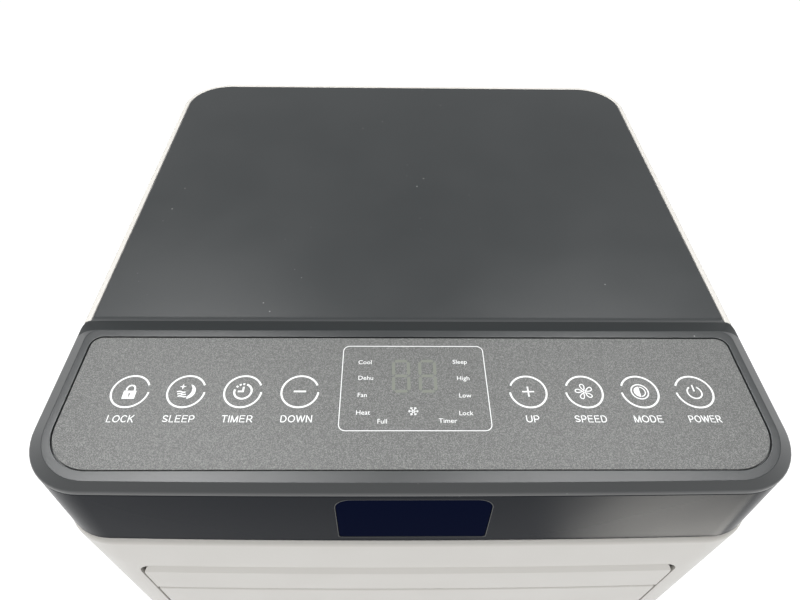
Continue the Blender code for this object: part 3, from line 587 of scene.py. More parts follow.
def make_rear_casing():
    seam = SEAM + SEAM_HALF_GAP
    rear = shell("rear_shell", back_path, seam, WALL, REAR_LOW.z, REAR_HIGH.z, 1.4 * MM)
    deep = 12 * MM
    near, far = BACK - deep, BACK + deep
    cutters = []
    for name in ("upper", "lower"):
        cutters.append(opening(f"{name}_window", "Y", f"{name}_intake_grille", 6 * MM, near, far))
    cutters.append(cylinder("collar_hole", "Y", (0, COLLAR_Z), COLLAR_RADIUS + 0.4 * MM, near, far, 96))
    cutters.append(cylinder("drain_hole", "Y", UPPER_DRAIN, DRAIN_HOLE, near, far))
    cutters.append(cylinder("gland_hole", "Y", GLAND, 9.4 * MM, near, far))
    for side, name in ((-1, "left"), (1, "right")):
        ends = sorted((side * (HALF - deep), side * (HALF + deep)))
        cutters.append(opening(f"grip_{name}", "X", f"side_handle_{name}", 8 * MM, *ends))
    for i, spot in enumerate(SCREWS):
        cutters.append(cylinder(f"screw_seat_{i}", "Y", spot, 4.2 * MM, BACK - 1.6 * MM, far))
    cut(rear, *cutters)
    ease(rear, 0.6 * MM)
    shown(rear, "white_casing", "rear_casing")


def make_base_pan():
    """The tray: its wall as a profile of (inset, level), outside and inside."""
    rim = BASE_HIGH.z
    outer = eased([(20 * MM, BASE_LOW.z), (6 * MM, BASE_LOW.z), (0, BASE_LOW.z + 8 * MM), (0, rim - 5 * MM)],
                  mm(4, 4))[1:]
    outer += [(0.0, rim - 0.5 * MM), (0.5 * MM, rim)]
    inner = [(WALL - 0.4 * MM, rim), (WALL, rim - 0.4 * MM), (WALL, 50 * MM), (9 * MM, 44 * MM)]
    base = loft("base_shell", [at_level(body_plan(inset), z) for inset, z in outer + inner])
    cut(base, cylinder("lower_drain_hole", "Y", LOWER_DRAIN, DRAIN_HOLE, BACK - 20 * MM, BACK + 12 * MM))
    shown(base, "white_casing", "base_pan")


def make_screws():
    """Pan-head screws with a cross recess, in their seats at the back."""
    seat = BACK - 1.5 * MM
    head = ((3.4, 0), (3.4, 0.3), (3.1, 0.8), (2.3, 1.2), (1.2, 1.4))  # radius, height
    profile = [(0, 0)] + [(radius * MM, seat + rise * MM) for radius, rise in head] + [(0, 0)]
    near, far = seat + 0.5 * MM, seat + 4 * MM
    long, short = mm(1.7, 0.35)
    for i, (x, z) in enumerate(SCREWS):
        screw = turned(f"rear_screw_{i + 1}", "Y", (x, z), profile, 28)
        for a, b in ((long, short), (short, long)):
            cut(screw, box("slot", (x - a, near, z - b), (x + a, far, z + b)))
        shown(screw, "bare_steel")


def step_level(y):
    """The height of the soft step from the top plate up to the console, at this depth."""
    return PLATE_TOP + (TOP - PLATE_TOP) * smooth_step((STEP_START - y) / (STEP_START - LID_TOP_BACK))


def make_top_plate():
    """The flat top, whose front edge curls up towards the console."""
    front = LID_BACK + 0.1 * MM
    rise = [front + (STEP_START - front) * i / 8 for i in range(9)]
    behind = PLATE_HIGH.y + BEYOND
    section = [(behind, PLATE_LOW.z), (behind, PLATE_TOP)]
    section += [(y, step_level(y)) for y in reversed(rise)] + [(front, PLATE_LOW.z)]
    plate = prism("top_plate", "X", section, -HALF, HALF)
    plan = back_path(HALF - PLATE_HIGH.x, LID_BACK - BEYOND, steps=20)
    boolean(plate, "INTERSECT", [prism("plate_plan", "Z", plan, PLATE_LOW.z - BEYOND, PLATE_TOP + BEYOND)])

    def stays_sharp(middle):
        return middle.z < PLATE_LOW.z + MM or middle.y < front + 0.01 * MM

    ease(plate, 1.5 * MM, segments=5, skip=stays_sharp)
    shown(plate, "dark_satin", "top_cover")


# --- control console ---


def console_plan(half, front, back, front_radius, rear_radius, bow):
    """A plan with large front corners, a bowed front and small rear corners."""
    return bowed_front(half, front, front_radius, bow) + rear_corners(half, back, rear_radius)


def lid_ring(share, z):
    """One level of the lid: share runs from 0 at its foot to 1 at its top. Its rear follows the soft step."""
    half, front = between(HALF, LID_TOP_HALF, share), between(LID_FRONT, LID_TOP_FRONT, share)
    back = between(LID_BACK, LID_TOP_BACK, share)
    front_radius, rear_radius = between(CONSOLE_RADIUS, LID_TOP_RADIUS, share), between(4, 5, share) * MM
    plan = console_plan(half, front, back, front_radius, rear_radius, LID_BOW)
    foot = LID_LOW.z
    if share > 0:
        rear_z = step_level(back)
    else:
        rear_z = foot + (z - foot) * (step_level(LID_BACK) - foot) / (LID_EDGE - foot)
    rising = [smooth_step(i / CORNER_STEPS) for i in range(CORNER_STEPS + 1)]
    weights = [0.0] * (len(plan) - 2 * len(rising)) + rising + rising[::-1]
    return [(x, y, z + (rear_z - z) * weight) for (x, y), weight in zip(plan, weights)]


def film_plan(grow):
    return console_plan(FILM_HIGH.x + grow, FILM_LOW.y - grow, FILM_HIGH.y + grow, FILM_FRONT_RADIUS + grow,
                        FILM_BACK_RADIUS + grow, 0.0)


def make_lid():
    """The bezel round the film, open to it at the top and to the circuit board below, and its rear strip,
    whose darker satin paints the shade on the step.
    """
    lean = HALF - LID_TOP_HALF
    side = [(0, LID_LOW.z), (0, LID_EDGE), (lean, TOP), (lean + 3 * MM, TOP)]
    side = eased(side, mm(2.6, 0.7), 8)[:-1]
    rings = [lid_ring(min(inset / lean, 1.0), z) for inset, z in side if inset <= lean]
    rings.append([(x, y, TOP) for x, y, _ in lid_ring(1.0 + 0.3 * MM / lean, TOP)])
    lip = 0.25 * MM
    for grow, z in ((lip, TOP), (0.3 * lip, TOP - 0.3 * lip), (0, TOP - lip), (0, RECESS)):
        rings.append(at_level(film_plan(FILM_GAP + grow), z))
    lid = loft("lid_shell", rings)
    pocket = rounded(POCKET_LOW, POCKET_HIGH, 12 * MM)
    cut(lid, prism("board_pocket", "Z", pocket, LID_LOW.z - 5 * MM, RECESS - 1.5 * MM))
    strip = linked("lid_rear_strip", lid.data.copy())
    low = (-HALF - BEYOND, LID_SPLIT, LID_LOW.z - BEYOND)
    high = (HALF + BEYOND, LID_BACK + BEYOND, TOP + BEYOND)
    boolean(strip, "INTERSECT", [box("strip_room", low, high)])
    cut(lid, box("strip_room", low, high))
    shown(lid, "dark_satin", "console_lid", sharp=32)
    shown(strip, "dark_satin", sharp=32)
    # the rear strip takes the darker satin: painted shade
    strip.data.materials[0] = LIP


def make_film():
    levels = [(0.0, FILM_LOW.z)]
    levels += [(-FILM_EDGE * (1 - c), FILM_HIGH.z - FILM_EDGE * (1 - s)) for s, c in quarter_turn()]
    film = loft("control_film", [at_level(film_plan(grow), z) for grow, z in levels])
    shown(film, "overlay_film", "control_overlay", sharp=60)


def band_bow(rise):
    """The band's bulge, from the casing's at its foot to a smaller one at its top, where rise is 1."""
    return BOW * (1 - 0.4 * rise)


def housing_face(x, z):
    """The front of the console housing, which leans back a little towards the lid."""
    rise = (z - HOUSING_LOW.z + DROP) / (LID_LOW.z - HOUSING_LOW.z + DROP)
    flat = HALF - CONSOLE_RADIUS
    return between(BAND_FOOT, LID_FRONT, rise) - band_bow(rise) * (1 - (x / flat) ** 2)


def window_plate(name, inset, front, back, edge=0.0):
    """A plate of the receiver window's outline that follows the housing, with an eased front edge."""
    low = (WINDOW_LOW.x - CLEARANCE + inset, WINDOW_LOW.z - CLEARANCE + inset)
    high = (WINDOW_HIGH.x + CLEARANCE - inset, WINDOW_HIGH.z + CLEARANCE - inset)

    def ring(shrink, depth):
        near, far = (low[0] + shrink, low[1] + shrink), (high[0] - shrink, high[1] - shrink)
        return [(x, housing_face(x, z) + depth, z) for x, z in rounded(near, far, WINDOW_RADII)]

    if not edge:
        return loft(name, [ring(0, front), ring(0, back)])
    eased_rings = [ring(edge * (1 - s), front + edge * (1 - c)) for s, c in quarter_turn()]
    return loft(name, eased_rings + [ring(0, back)])


def make_housing():
    """The band below the lid: an outer skin that leans back, an inner one, and a hole for the window."""
    low, high = HOUSING_LOW.z - DROP, HOUSING_HIGH.z
    levels = eased([(3 * MM, low), (0, low), (0, high), (3 * MM, high)], (0.6 * MM, BAND_EDGE), 5)[1:-1]
    rings = []
    for inset, z in levels:
        rise = (z - low) / (high - low)
        front = between(BAND_FOOT, LID_FRONT, rise) + inset
        half = HALF - inset - (1 - rise) * BAND_FOOT_INSET
        radius = between(BAND_FOOT_RADIUS, CONSOLE_RADIUS, rise) - inset
        rings.append(at_level(console_plan(half, front, LID_BACK - inset, radius, 4 * MM, band_bow(rise)), z))
    for z, front in ((high, LID_FRONT), (low, BAND_FOOT)):
        half, back = HALF - BAND_FOOT_INSET - BAND_WALL, LID_BACK - BAND_WALL
        radius = BAND_FOOT_RADIUS - BAND_WALL
        rings.append(at_level(console_plan(half, front + BAND_WALL, back, radius, 2 * MM, LID_BOW), z))
    housing = loft("console_band", rings, closed=True)
    cut(housing, window_plate("window_hole", -0.15 * MM, -6 * MM, 6 * MM))
    shown(housing, "dark_gloss", "console_housing", sharp=32)


def make_window():
    """The receiver's lens and the thin rim round it, whose lighter satin paints the highlight along the
    window's edge.
    """
    window = window_plate("receiver_lens", 0.25 * MM, 0.05 * MM, 2.2 * MM, 0.5 * MM)
    shown(window, "window_gloss", "receiver_window", sharp=60)
    rim = window_plate("window_rim", -RIM_HALF, -0.06 * MM, 1.8 * MM)
    cut(rim, window_plate("rim_hole", RIM_HALF, -6 * MM, 6 * MM))
    # the rim's satin is lighter than the band's gloss: a painted highlight along the window's edge
    shown(rim, "dark_satin", sharp=32)


# --- printing on the film ---


def patch(bm, outline):
    """A thin printed patch of this outline."""
    skin(bm, [at_level(outline, PRINT_LEVEL), at_level(outline, PRINT_TOP)])


def stroke(bm, points, width, closed=False):
    """A thin printed line of this width along points."""
    line = [Vector(p) for p in points]
    count = len(line)
    sections = []
    for i, at in enumerate(line):
        before = line[(i - 1) % count] if closed or i > 0 else at
        after = line[(i + 1) % count] if closed or i < count - 1 else at
        along = (after - before).normalized()
        across = Vector((-along.y, along.x)) * width / 2
        left, right = at + across, at - across
        sections.append(at_level((left, right), PRINT_LEVEL) + at_level((right, left), PRINT_TOP))
    skin(bm, sections, closed)


def ray(degrees, length=1.0):
    """The vector of this length at this angle, counter-clockwise from +X."""
    angle = math.radians(degrees)
    return (length * math.cos(angle), length * math.sin(angle))


# The glyphs: each is its filled outlines and its lines, as (width, points, closed), in millimetres


def lock_glyph():
    half = [(0, -0.9), (0.55, -1.2), (0.3, -1.75), (0.3, -2.8), (0, -2.8), (0, -3.9), (2.8, -3.9), (2.8, 0.3),
            (0, 0.3)]
    shackle = [(1.8, 0.2)] + arc((0, 1.3), 1.8, 0, 180, 16) + [(-1.8, 0.2)]
    return [[(side * x, y) for x, y in half] for side in (-1, 1)], [(0.75, shackle, False)]


def sleep_glyph():
    moon = arc((0.2, 0.0), 3.3, 62, -80, 24) + arc((-1.5, 0.6), 3.6, -52, 42, 20)
    star = [ray(45 * i, 0.4 if i % 2 else 1.3) for i in range(8)]
    ripple = [(0.4 * k - 3.4, 0.22 * math.sin(0.75 * k) - 0.2) for k in range(9)]
    waves = [[(x + 0.35 * i, y - i) for x, y in ripple] for i in range(3)]
    return [moon, [(x - 1.6, y + 2.1) for x, y in star]], [(0.5, wave, False) for wave in waves]


def timer_glyph():
    half = 0.35
    hands = [(half, 2.0), (-half, 2.0), (-half, half), (-1.9, half), (-1.9, -half), (half, -half)]
    dashes = [arc((0, 0), 3.2, start, start + 13, 4) for start in (84, 108, 132)]
    return [hands], [(0.75, part, False) for part in [arc((0, 0), 3.2, 165, 430, 40)] + dashes]


def minus_glyph():
    return [], [(0.75, [(-2.4, 0), (2.4, 0)], False)]


def plus_glyph():
    a, b = 2.7, 0.34
    half = [(b, b), (b, a), (-b, a), (-b, b), (-a, b), (-a, -b)]
    return [half + [(-x, -y) for x, y in half]], []


def fan_glyph():
    lines = []
    for blade in range(5):
        c, s = ray(72 * blade + 90)
        petal = []
        for i in range(24):
            forward, sideways = ray(15 * i)
            along = 2.25 + 1.35 * forward
            aside = (0.3 + 0.25 * along) * sideways * 0.9 + 0.16 * along
            petal.append((along * c - aside * s, along * s + aside * c))
        lines.append((0.42, petal, True))
    return [], lines + [(0.35, arc((0, 0), 0.5, 0, 345, 15), True)]


def mode_glyph():
    ring, right = arc((0, 0), 3.3, 0, 354, 47), arc((0, 0), 2.15, -84, 84, 20)
    return [arc((0, 0), 2.35, 90, 270, 24)], [(0.5, ring, True), (0.4, right, False)]


def power_glyph():
    return [], [(0.6, arc((0, -0.3), 2.9, 122, 418, 40), False), (0.6, [(0, 0.2), (0, 3.4)], False)]


def snowflake_glyph():
    lines = []
    for turn in range(0, 360, 60):
        lines.append((0.42, [ray(turn, 0.25), ray(turn, 2.3)], False))
        fork = ray(turn, 1.35)
        for side in (-1, 1):
            twig = ray(turn + side * 45, 0.8)
            lines.append((0.36, [fork, (fork[0] + twig[0], fork[1] + twig[1])], False))
    return [], lines


def draw_glyph(bm, glyph, x, y, scale=1.0):
    """A glyph of this scale, centred at x, y."""
    def placed(points):
        return [(x + px * scale * MM, y + py * scale * MM) for px, py in points]

    outlines, lines = glyph
    for outline in outlines:
        patch(bm, placed(outline))
    for width, points, closed in lines:
        stroke(bm, placed(points), width * scale * MM, closed)


def draw_digit(bm, x, y):
    """The seven bars of an unlit figure, centred at x, y."""
    half, tall = DIGIT_WIDE / 2 - BAR_THICK / 2, DIGIT_TALL / 2 - BAR_THICK / 2

    def bar(start, end):
        a, b = Vector(start), Vector(end)
        along = (b - a).normalized()
        across = Vector((-along.y, along.x)) * BAR_THICK / 2
        a, b = a + along * BAR_GAP, b - along * BAR_GAP
        tip = along * BAR_THICK / 2
        patch(bm, [a, a + tip + across, b - tip + across, b, b - tip - across, a + tip - across])

    spots = {(i, j): (x + i * half, y + j * tall) for i in (-1, 1) for j in (-1, 0, 1)}
    for j in (-1, 0, 1):
        bar(spots[-1, j], spots[1, j])
    for i in (-1, 1):
        for j in (-1, 0):
            bar(spots[i, j], spots[i, j + 1])


# Each key's glyph and its scale, its caption and how wide the caption is
KEYS = (("lock", lock_glyph, 1.0, "LOCK", 11.7), ("sleep", sleep_glyph, 1.2, "SLEEP", 13.8),
        ("timer", timer_glyph, 1.2, "TIMER", 13.6), ("down", minus_glyph, 1.15, "DOWN", 13.8),
        ("up", plus_glyph, 1.0, "UP", 6.0), ("speed", fan_glyph, 1.1, "SPEED", 14.2),
        ("mode", mode_glyph, 1.15, "MODE", 12.8), ("power", power_glyph, 1.1, "POWER", 14.4))
# Each indicator word and its middle
WORDS = (("Cool", -22.0, -108.9), ("Dehu", -21.4, -117.7), ("Fan", -22.7, -126.9), ("Heat", -22.0, -135.9),
         ("Full", -13.6, -140.3), ("Timer", 14.9, -140.0), ("Sleep", 22.4, -108.6), ("High", 23.3, -117.8),
         ("Low", 23.5, -127.1), ("Lock", 23.2, -136.2))

# Plain capitals of height 1: the width each takes, and its strokes
STEM = 0.125
LOW, TALL = STEM / 2, 1 - STEM / 2
LETTER_GAP = 0.13
POST = [(0.1, 0), (0.1, 1)]
BOWL_FOOT = (0.1, 1.38 - TALL)
BOWL = [(0.1, 0), (0.1, TALL), (0.45, TALL)] + oval(0.45, 0.69, 0.27, TALL - 0.69, 90, -90)[1:] + [BOWL_FOOT]
BELLY = oval(0.4, 0.5, 0.4, TALL - 0.5, 90, -90)[1:]
UPPER_S = oval(0.42, 0.72, 0.3, TALL - 0.72, 15, 270)
LOWER_S = oval(0.42, 0.28, 0.33, 0.72 - TALL + 0.44 - LOW, 90, -165)[1:]
CUP = oval(0.45, 0.38, 0.35, 0.38 - LOW, 180, 360)[1:]
LETTERS = {
    "C": (0.92, [oval(0.5, 0.5, 0.41, TALL - 0.5, 42, 318)]),
    "D": (0.92, [[(0.1, LOW), (0.1, TALL), (0.4, TALL)] + BELLY + [(0.1, LOW)]]),
    "E": (0.84, [[(0.76, TALL), (0.1, TALL), (0.1, LOW), (0.78, LOW)], [(0.1, 0.52), (0.7, 0.52)]]),
    "I": (0.2, [POST]),
    "K": (0.84, [POST, [(0.74, 1), (0.1, 0.36)], [(0.32, 0.58), (0.78, 0)]]),
    "L": (0.72, [[(0.1, 1), (0.1, LOW), (0.68, LOW)]]),
    "M": (1.0, [POST, [(0.11, 1), (0.5, 0)], [(0.5, 0), (0.89, 1)], [(0.9, 0), (0.9, 1)]]),
    "N": (0.9, [POST, [(0.12, 1), (0.78, 0)], [(0.8, 0), (0.8, 1)]]),
    "O": (1.0, [oval(0.5, 0.5, 0.43, TALL - 0.5, 0, 360)]),
    "P": (0.82, [BOWL]),
    "R": (0.88, [BOWL, [(0.42, BOWL_FOOT[1]), (0.8, 0)]]),
    "S": (0.84, [UPPER_S + LOWER_S]),
    "T": (0.8, [[(0.02, TALL), (0.78, TALL)], [(0.4, 0), (0.4, TALL)]]),
    "U": (0.9, [[(0.1, 1), (0.1, 0.38)] + CUP + [(0.8, 1)]]),
    "W": (1.22, [[(0.04, 1), (0.33, 0)], [(0.33, 0), (0.61, 1)],
                 [(0.61, 1), (0.89, 0)], [(0.89, 0), (1.18, 1)]]),
}


def caption(bm, text, x, y, cap, width):
    """A word in capitals of height cap, fitted to this width and centred at x, y."""
    natural = sum(LETTERS[letter][0] + LETTER_GAP for letter in text) - LETTER_GAP
    squeeze = width / (natural * cap)
    left = x - width / 2
    for letter in text:
        advance, lines = LETTERS[letter]
        for line in lines:
            points = [(left + a * cap * squeeze, y + (b - 0.5) * cap) for a, b in line]
            closed = letter == "O"
            stroke(bm, points[:-1] if closed else points, STEM * cap, closed)
        left += (advance + LETTER_GAP) * cap * squeeze


def lettering(text, x, y, cap):
    """A small word, centred, with capitals of this height."""
    def letters(body, size):
        curve = bpy.data.curves.new("word", "FONT")
        curve.body = body
        curve.size = size
        curve.extrude = PRINT_THICK / 2
        curve.resolution_u = 3
        one = linked("word", curve)
        mesh = evaluated(one)
        bpy.data.objects.remove(one)
        return mesh

    def span(mesh, axis):
        values = [vertex.co[axis] for vertex in mesh.vertices]
        return min(values), max(values)

    bottom, top = span(letters("H", 1.0), 1)
    mesh = letters(text, cap / (top - bottom))
    left, right = span(mesh, 0)
    mesh.transform(Matrix.Translation((x - (left + right) / 2, y - cap / 2, PRINT_LEVEL + PRINT_THICK / 2)))
    return mesh


def printed(name, bm, meshes=(), ink=INK):
    for mesh in meshes:
        bm.from_mesh(mesh)
    made = keep(name, bm)
    made.data.materials.append(ink)
    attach(made, "cabinet")


def print_keys():
    """Each key's glyph, its caption, and its ring, whose gap faces the display a little above its middle."""
    for (name, glyph, scale, word, width), x in zip(KEYS, KEY_X):
        bm = bmesh.new()
        draw_glyph(bm, glyph(), x, KEY_Y, scale)
        gap = 10 if x < 0 else 170
        stroke(bm, arc((x, KEY_Y), KEY_RADIUS, gap + RING_GAP, gap + 360 - RING_GAP, 72), KEY_STROKE)
        caption(bm, word, x + CAPTION_SHIFT, CAPTION_Y, CAPTION_CAP, width * MM)
        printed(f"key_{name}", bm)


def print_display():
    """The display's frame with its indicator words, a snowflake under the digits, and the unlit digits."""
    bm = bmesh.new()
    stroke(bm, rounded(DISPLAY_LOW, DISPLAY_HIGH, 3 * MM, 6), DISPLAY_STROKE, closed=True)
    printed("display_frame", bm)
    words = [lettering(text, x * MM, y * MM, WORD_CAP) for text, x, y in WORDS]
    printed("indicator_words", bmesh.new(), words)
    bm = bmesh.new()
    draw_glyph(bm, snowflake_glyph(), 0, SNOWFLAKE_Y)
    printed("snowflake_mark", bm)
    bm = bmesh.new()
    for x in DIGIT_X:
        draw_digit(bm, x, DIGIT_Y)
    printed("unlit_digits", bm, ink=GHOST)


# --- air outlet ---


def blade_section(x, z, sloped):
    """A blade's section at x, from the foot of its face, up its back and down to its face."""
    h, top, bottom = BLADE_HALF_HEIGHT, 1.6 * MM, 1.2 * MM
    face = FRONT + BLADE_SINK - BOW * (1 - (x / (HALF - FRONT_RADIUS)) ** 2)
    section = corner((face + bottom, z - h + bottom), bottom, 180, 8)
    section += [(BLADE_BACK, z - h + bottom), (BLADE_BACK, z + h - top)]
    if sloped:  # the top edge below the casing
        slope = [(BLADE_BACK, z + h), (face + 3 * MM, z + h), (face, z + h - 8.5 * MM), (face, z)]
        section += eased(slope, mm(0.6, 0.5), 4)[1:-1]
    else:
        section += corner((face + top, z + h - top), top, 90, 9)
    return [(x, y, level) for y, level in section]


def blade_fittings(z):
    """The ears and journals at a blade's ends, and the crank that the link bar turns it by."""
    axis, tip = (BLADE_AXIS_Y, z), (BLADE_AXIS_Y + CRANK, z)
    near, far = BLADE_BACK - MM, BLADE_AXIS_Y + MM
    tall, low = mm(7, 3.4)
    ear = [(near, z - tall), (far, z - low), (far + 2 * MM, z), (far, z + low), (near, z + tall)]
    inner, start, duct_face = BLADE_HALF - 3 * MM, BLADE_HALF - 2 * MM, DUCT_HIGH.x
    arm = rounded((axis[0] - 3 * MM, z - 3 * MM), (tip[0] + 3 * MM, z + 3 * MM), 2.9 * MM, 6)
    return [
        prism("left_ear", "X", ear, -BLADE_HALF, -inner),
        prism("right_ear", "X", ear, inner, BLADE_HALF),
        cylinder("left_pin", "X", axis, PIN, BLADE_LOW.x, -start, 20),
        cylinder("right_pin", "X", axis, PIN, start, duct_face + 3 * MM, 20),
        prism("arm", "X", arm, duct_face + 1.2 * MM, duct_face + 3.4 * MM),
        cylinder("crank_pin", "X", tip, PIN, duct_face + 2.4 * MM, BLADE_HIGH.x, 20),
    ]


def make_blades():
    """Blades that are bowed like the front and trimmed to the outlet's corners, with their fittings."""
    for i in range(BLADES):
        z = BLADE_HIGH.z - BLADE_HALF_HEIGHT - i * BLADE_PITCH
        stations = [blade_section(BLADE_HALF * step / 10, z, i == 0) for step in range(-10, 11)]
        blade = loft(f"blade_{i + 1}", stations)
        outline = rounded((-BLADE_HALF, LAST_LOW.z), (BLADE_HALF, BLADE_HIGH.z), 12 * MM, 14)
        boolean(blade, "INTERSECT", [prism("trim", "Y", outline, BLADE_FACE - MM, BLADE_AXIS_Y)])
        ease(blade, 0.7 * MM, angle=50)
        join(blade, *blade_fittings(z))
        shown(blade, "white_casing", f"louvre_blade_{i + 1}", body=f"louvre_{i + 1}")


# --- back ---


def make_grille(name):
    """A panel with two columns of slots."""
    low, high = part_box(f"{name}_intake_grille")
    outline = outline_of(f"{name}_intake_grille", "Y", 5.7 * MM)
    panel = prism(f"{name}_grille", "Y", outline, low.y, high.y)
    pitch, half, margin = mm(12, 3.2, 8)
    rows = int((high.z - low.z + 2 * CLEARANCE - 2 * margin) / pitch)
    first = (low.z + high.z) / 2 - (rows - 1) * pitch / 2
    slots = []
    for i in range(rows):
        z = first + i * pitch
        for side in (-1, 1):
            left, right = sorted((side * 6 * MM, side * (high.x - 9.7 * MM)))
            outline = rounded((left, z - half), (right, z + half), half - 0.1 * MM, 6)
            slots.append(prism("slot", "Y", outline, low.y - 4 * MM, high.y + 4 * MM))
    cut(panel, joined("slots", slots))
    ease(panel, 0.7 * MM, angle=50)
    shown(panel, "white_casing", f"{name}_intake_grille", body=f"{name}_intake")


def make_cloth(name):
    """The woven threads in a filter's frame."""
    low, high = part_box(f"{name}_filter")
    pitch, thick, margin = mm(2.4, 0.45, 2)
    middle = (low.y + high.y) / 2
    cloth = []
    for i in range(int((high.x - low.x - 2 * margin) / pitch)):
        x = low.x + margin + (i + 0.5) * pitch
        start, end = (x - thick / 2, middle, low.z + MM), (x + thick / 2, middle + thick, high.z - MM)
        cloth.append(box("warp", start, end))
    for i in range(int((high.z - low.z - 2 * margin) / pitch)):
        z = low.z + margin + (i + 0.5) * pitch
        start = (low.x + MM, middle - 0.9 * thick, z - thick / 2)
        end = (high.x - MM, middle + 0.1 * thick, z + thick / 2)
        cloth.append(box("weft", start, end))
    shown(joined(f"{name}_filter_cloth", cloth), "filter_mesh", body=f"{name}_intake")


def pipe(name, points, radii, radius, sides=12):
    """A round tube along points, with its corners bent to these radii."""
    line = [Vector(point) for point in eased(points, radii, 6)]
    rings, across = [], Vector((0, 1, 0))
    for before, at, after in zip([line[0]] + line, line, line[1:] + [line[-1]]):
        along = (after - before).normalized()
        across = (across - along * across.dot(along)).normalized()
        beside = along.cross(across)
        turns = [2 * math.pi * i / sides for i in range(sides)]
        rings.append([at + (across * math.cos(a) + beside * math.sin(a)) * radius for a in turns])
    return loft(name, rings)


def make_fins(name):
    """A stack of thin fins between two tube plates."""
    low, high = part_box(name)
    left, right = low.x + COIL_BENDS, high.x
    plate, pitch, fin = mm(2, 2.6, 0.9)
    outline = outline_of(name, "X", 1.5 * MM, steps=3)
    parts = [prism("tube_plate", "X", outline, x, x + plate) for x in (left, right - plate)]
    for i in range(int((right - left - 2 * plate) / pitch)):
        x = left + plate + (i + 0.5) * pitch
        parts.append(box("fin", (x, low.y + MM, low.z + MM), (x + fin, high.y - MM, high.z - MM)))
    shown(joined(f"{name}_fins", parts), "aluminium_fin", name)


def make_hairpins(name):
    """Copper tubes through the fins, bent back at their left."""
    low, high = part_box(name)
    hairpins, tube, bend = 5, 3.4 * MM, 4.5 * MM
    y, reach, end = (low.y + high.y) / 2, low.x + tube + 0.2 * MM, high.x + 0.4 * MM
    rise = (high.z - low.z - 2 * MM) / hairpins
    bends = []
    for i in range(hairpins):
        z = low.z + MM + (i + 0.5) * rise
        below, above = z - rise / 4, z + rise / 4
        path = [(end, y, below), (reach, y, below), (reach, y, above), (end, y, above)]
        bends.append(pipe("hairpin", path, (bend, bend), tube))
    shown(joined(f"{name}_tubes", bends), "copper_tube")


def make_collar():
    """The hose connector: a tube with a flange inside the casing."""
    low, high = COLLAR_LOW.y, COLLAR_HIGH.y
    flange = BACK - WALL - CLEARANCE
    ring = [(COLLAR_BORE, low), (COLLAR_RADIUS, low), (COLLAR_RADIUS, flange - 3 * MM),
            (COLLAR_HIGH.x, flange - 3 * MM), (COLLAR_HIGH.x, flange), (COLLAR_RADIUS, flange),
            (COLLAR_RADIUS, high), (COLLAR_BORE, high), (COLLAR_BORE, low)]
    outline = eased(ring, mm(0.6, 1, 1, 1, 0.6, 1.2, 1.2), 4)
    collar = turned("hose_collar", "Y", (0, COLLAR_Z), outline[:-1], 96)
    shown(collar, "dark_satin", "exhaust_collar")


def make_caps():
    """The drains' plugs, each with a wide head."""
    for name, spot in (("upper", UPPER_DRAIN), ("lower", LOWER_DRAIN)):
        node = f"{name}_drain_cap"
        low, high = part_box(node)
        stopper, head, out = 5 * MM, 9 * MM, high.y - 6.5 * MM
        outline = [(0, low.y), (stopper, low.y), (stopper, out), (head, out), (head, high.y), (0, high.y)]
        cap = turned(f"{name}_plug", "Y", spot, eased(outline, mm(0.8, 0.5, 1, 2), 4), 40)
        shown(cap, "black_rubber", node, body=node, sharp=60)


def make_gland():
    """The bush that a cord would pass through."""
    low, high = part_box("cord_gland")
    lip = BACK + MM
    bore, foot, neck = mm(4.2, 9, 7)
    outline = [(bore, high.y), (bore, low.y), (foot, low.y), (foot, lip), (neck, high.y), (bore, high.y)]
    profile = eased(outline, mm(0.5, 0.8, 1.2, 0.8), 4)
    gland = turned("cord_bush", "Y", GLAND, profile[:-1], 40)
    shown(gland, "black_rubber", "cord_gland", sharp=60)


def make_grips():
    """The cups of the side grips, open to the outside."""
    wall = 2 * MM
    for side, name in ((-1, "left"), (1, "right")):
        node = f"side_handle_{name}"
        low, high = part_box(node)
        cup = prism(f"grip_{name}", "X", outline_of(node, "X", 7.7 * MM), low.x, high.x)
        inner = outline_of(node, "X", 6 * MM, -wall)
        floor = abs(low.x if side > 0 else high.x) + wall
        ends = sorted((side * (HALF + 5 * MM), side * floor))
        cut(cup, prism("hollow", "X", inner, *ends))
        ease(cup, 0.7 * MM)
        shown(cup, "dark_satin", node)


# --- casters ---


def make_casters():
    """Wheels, dished between hub and tyre on both sides."""
    bore, hub, seat, web, tyre = mm(3.4, 6, 7, 12, 13)
    rounds = mm(0.5, 0.5, 0.5, 0.4, 2.4)
    for name in ("front_left", "front_right", "rear_left", "rear_right"):
        low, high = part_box(f"caster_wheel_{name}")
        x, y, radius = (low.x + high.x) / 2, (low.y + high.y) / 2, (high.z - low.z) / 2
        half = (high.x - low.x) / 2

        def side(face, dish):
            dished = [(seat, face + dish), (web, face + dish)]
            return [(bore, face), (hub, face)] + dished + [(tyre, face), (radius, face)]

        outline = side(x - half, 1.2 * MM) + side(x + half, -1.2 * MM)[::-1] + [(bore, x - half)]
        profile = eased(outline, rounds + rounds[::-1] + mm(0.3), 4)
        wheel = turned(f"wheel_{name}", "X", (y, radius), profile[:-1], 48)
        shown(wheel, "black_paint", f"caster_wheel_{name}", body=f"wheel_{name}", sharp=50)


# --- stage, light and camera ---


def area(name, spot, target, size, power, colour=(1, 1, 1)):
    """A rectangular lamp that faces a target."""
    light = bpy.data.lights.new(name, "AREA")
    light.shape = "RECTANGLE"
    light.size, light.size_y = size
    light.energy = power
    light.color = colour
    made = linked(name, light)
    made.location = spot
    made.rotation_euler = (Vector(target) - Vector(spot)).to_track_quat("-Z", "Y").to_euler()
    return made


def make_floor():
    floor = box("floor", (-8, -8, -0.02), (8, 8, 0.0))
    floor.data.materials.append(FLOOR)


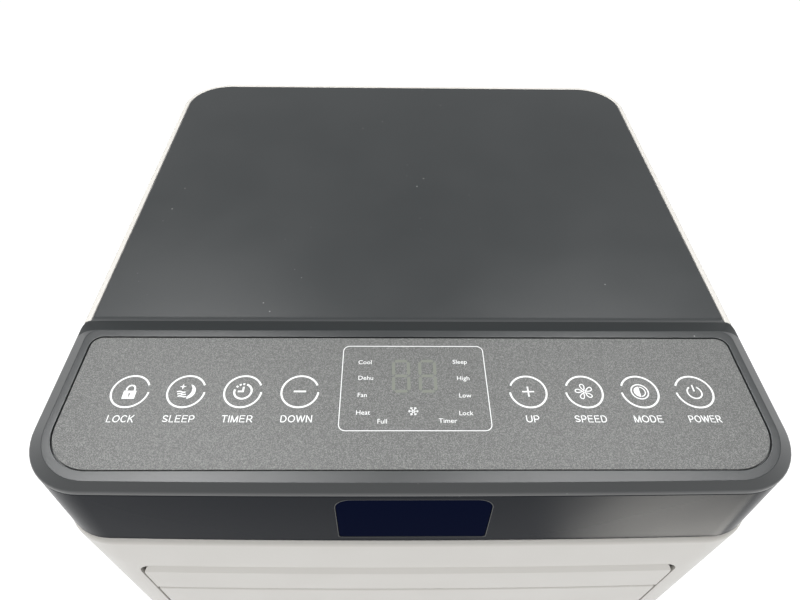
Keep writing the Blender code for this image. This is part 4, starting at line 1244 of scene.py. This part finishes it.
def make_sky():
    """A white sky, pale along the horizon and dimmer overhead."""
    world = bpy.data.worlds.new("studio")
    world.use_nodes = True
    tree = world.node_tree
    sky = tree.nodes["Background"]
    put(sky, {"Color": WHITE})
    where = tree.nodes.new("ShaderNodeTexCoord")
    split = tree.nodes.new("ShaderNodeSeparateXYZ")
    tree.links.new(where.outputs["Generated"], split.inputs["Vector"])
    tree.links.new(ranged(tree, split.outputs["Z"], 0.0, 0.5, 0.98, 0.2), sky.inputs["Strength"])
    bpy.context.scene.world = world


def make_lamps():
    """Soft lamps from above, and a small one, low on the right, that lights the console's band only."""
    area("overhead_left", (-0.78, 0.6, 2.6), (-0.1, -0.05, 0.6), (0.98, 0.8), 31)
    area("overhead_right", (0.72, 0.6, 2.6), (0.1, -0.05, 0.6), (0.82, 0.8), 24.5)
    area("front_top", (-0.2, -1.1, 2.4), (0, -0.17, 0.6), (2.4, 0.8), 20.5)
    warm = (1, 0.97, 0.9)
    low_right = area("low_right", (0.39, -0.37, 0.12), (0.14, -0.175, 0.66), (0.26, 0.24), 0.056, warm)
    low_right.data.spread = math.radians(40)
    lit = bpy.data.collections.new("band")
    lit.objects.link(bpy.data.objects["console_band"])
    low_right.light_linking.receiver_collection = lit
    bpy.context.scene.view_settings.view_transform = "Standard"


def make_camera():
    """The view from above the front, turned by its pitch, yaw and roll."""
    camera = bpy.data.cameras.new("camera")
    camera.sensor_width = 36
    camera.lens = 26.30
    camera.clip_start = 0.01
    made = linked("camera", camera)
    made.matrix_world = Matrix.Translation((-0.00982, -0.27104, 0.91238))
    for axis, degrees in (("Z", -1.268), ("X", 90 - 47.851), ("Z", 1.126)):  # yaw, pitch and roll
        made.matrix_world = made.matrix_world @ Matrix.Rotation(math.radians(degrees), 4, axis)
    bpy.context.scene.camera = made


def finish_cad_nodes():
    """The inner parts keep their solids, with eased edges and their finishes."""
    slots = {part["node"]: part["material_slot"] for part in frame["record"]["subparts"]}
    for name, node in frame["nodes"].items():
        if node.hide_render:
            continue
        node.data.materials.clear()
        node.data.materials.append(FINISHES[slots[name]])
        bevel(node, "ANGLE", 0.4 * MM, 2).angle_limit = math.radians(40)


make_front_casing()
make_rear_casing()
make_base_pan()
make_screws()
make_top_plate()
make_lid()
make_film()
make_housing()
make_window()
print_keys()
print_display()
make_blades()
for intake in ("upper", "lower"):
    make_grille(intake)
    make_cloth(intake)
for coil in ("evaporator", "condenser"):
    make_fins(coil)
    make_hairpins(coil)
make_collar()
make_caps()
make_gland()
make_grips()
make_casters()
finish_cad_nodes()
make_floor()
make_sky()
make_lamps()
make_camera()
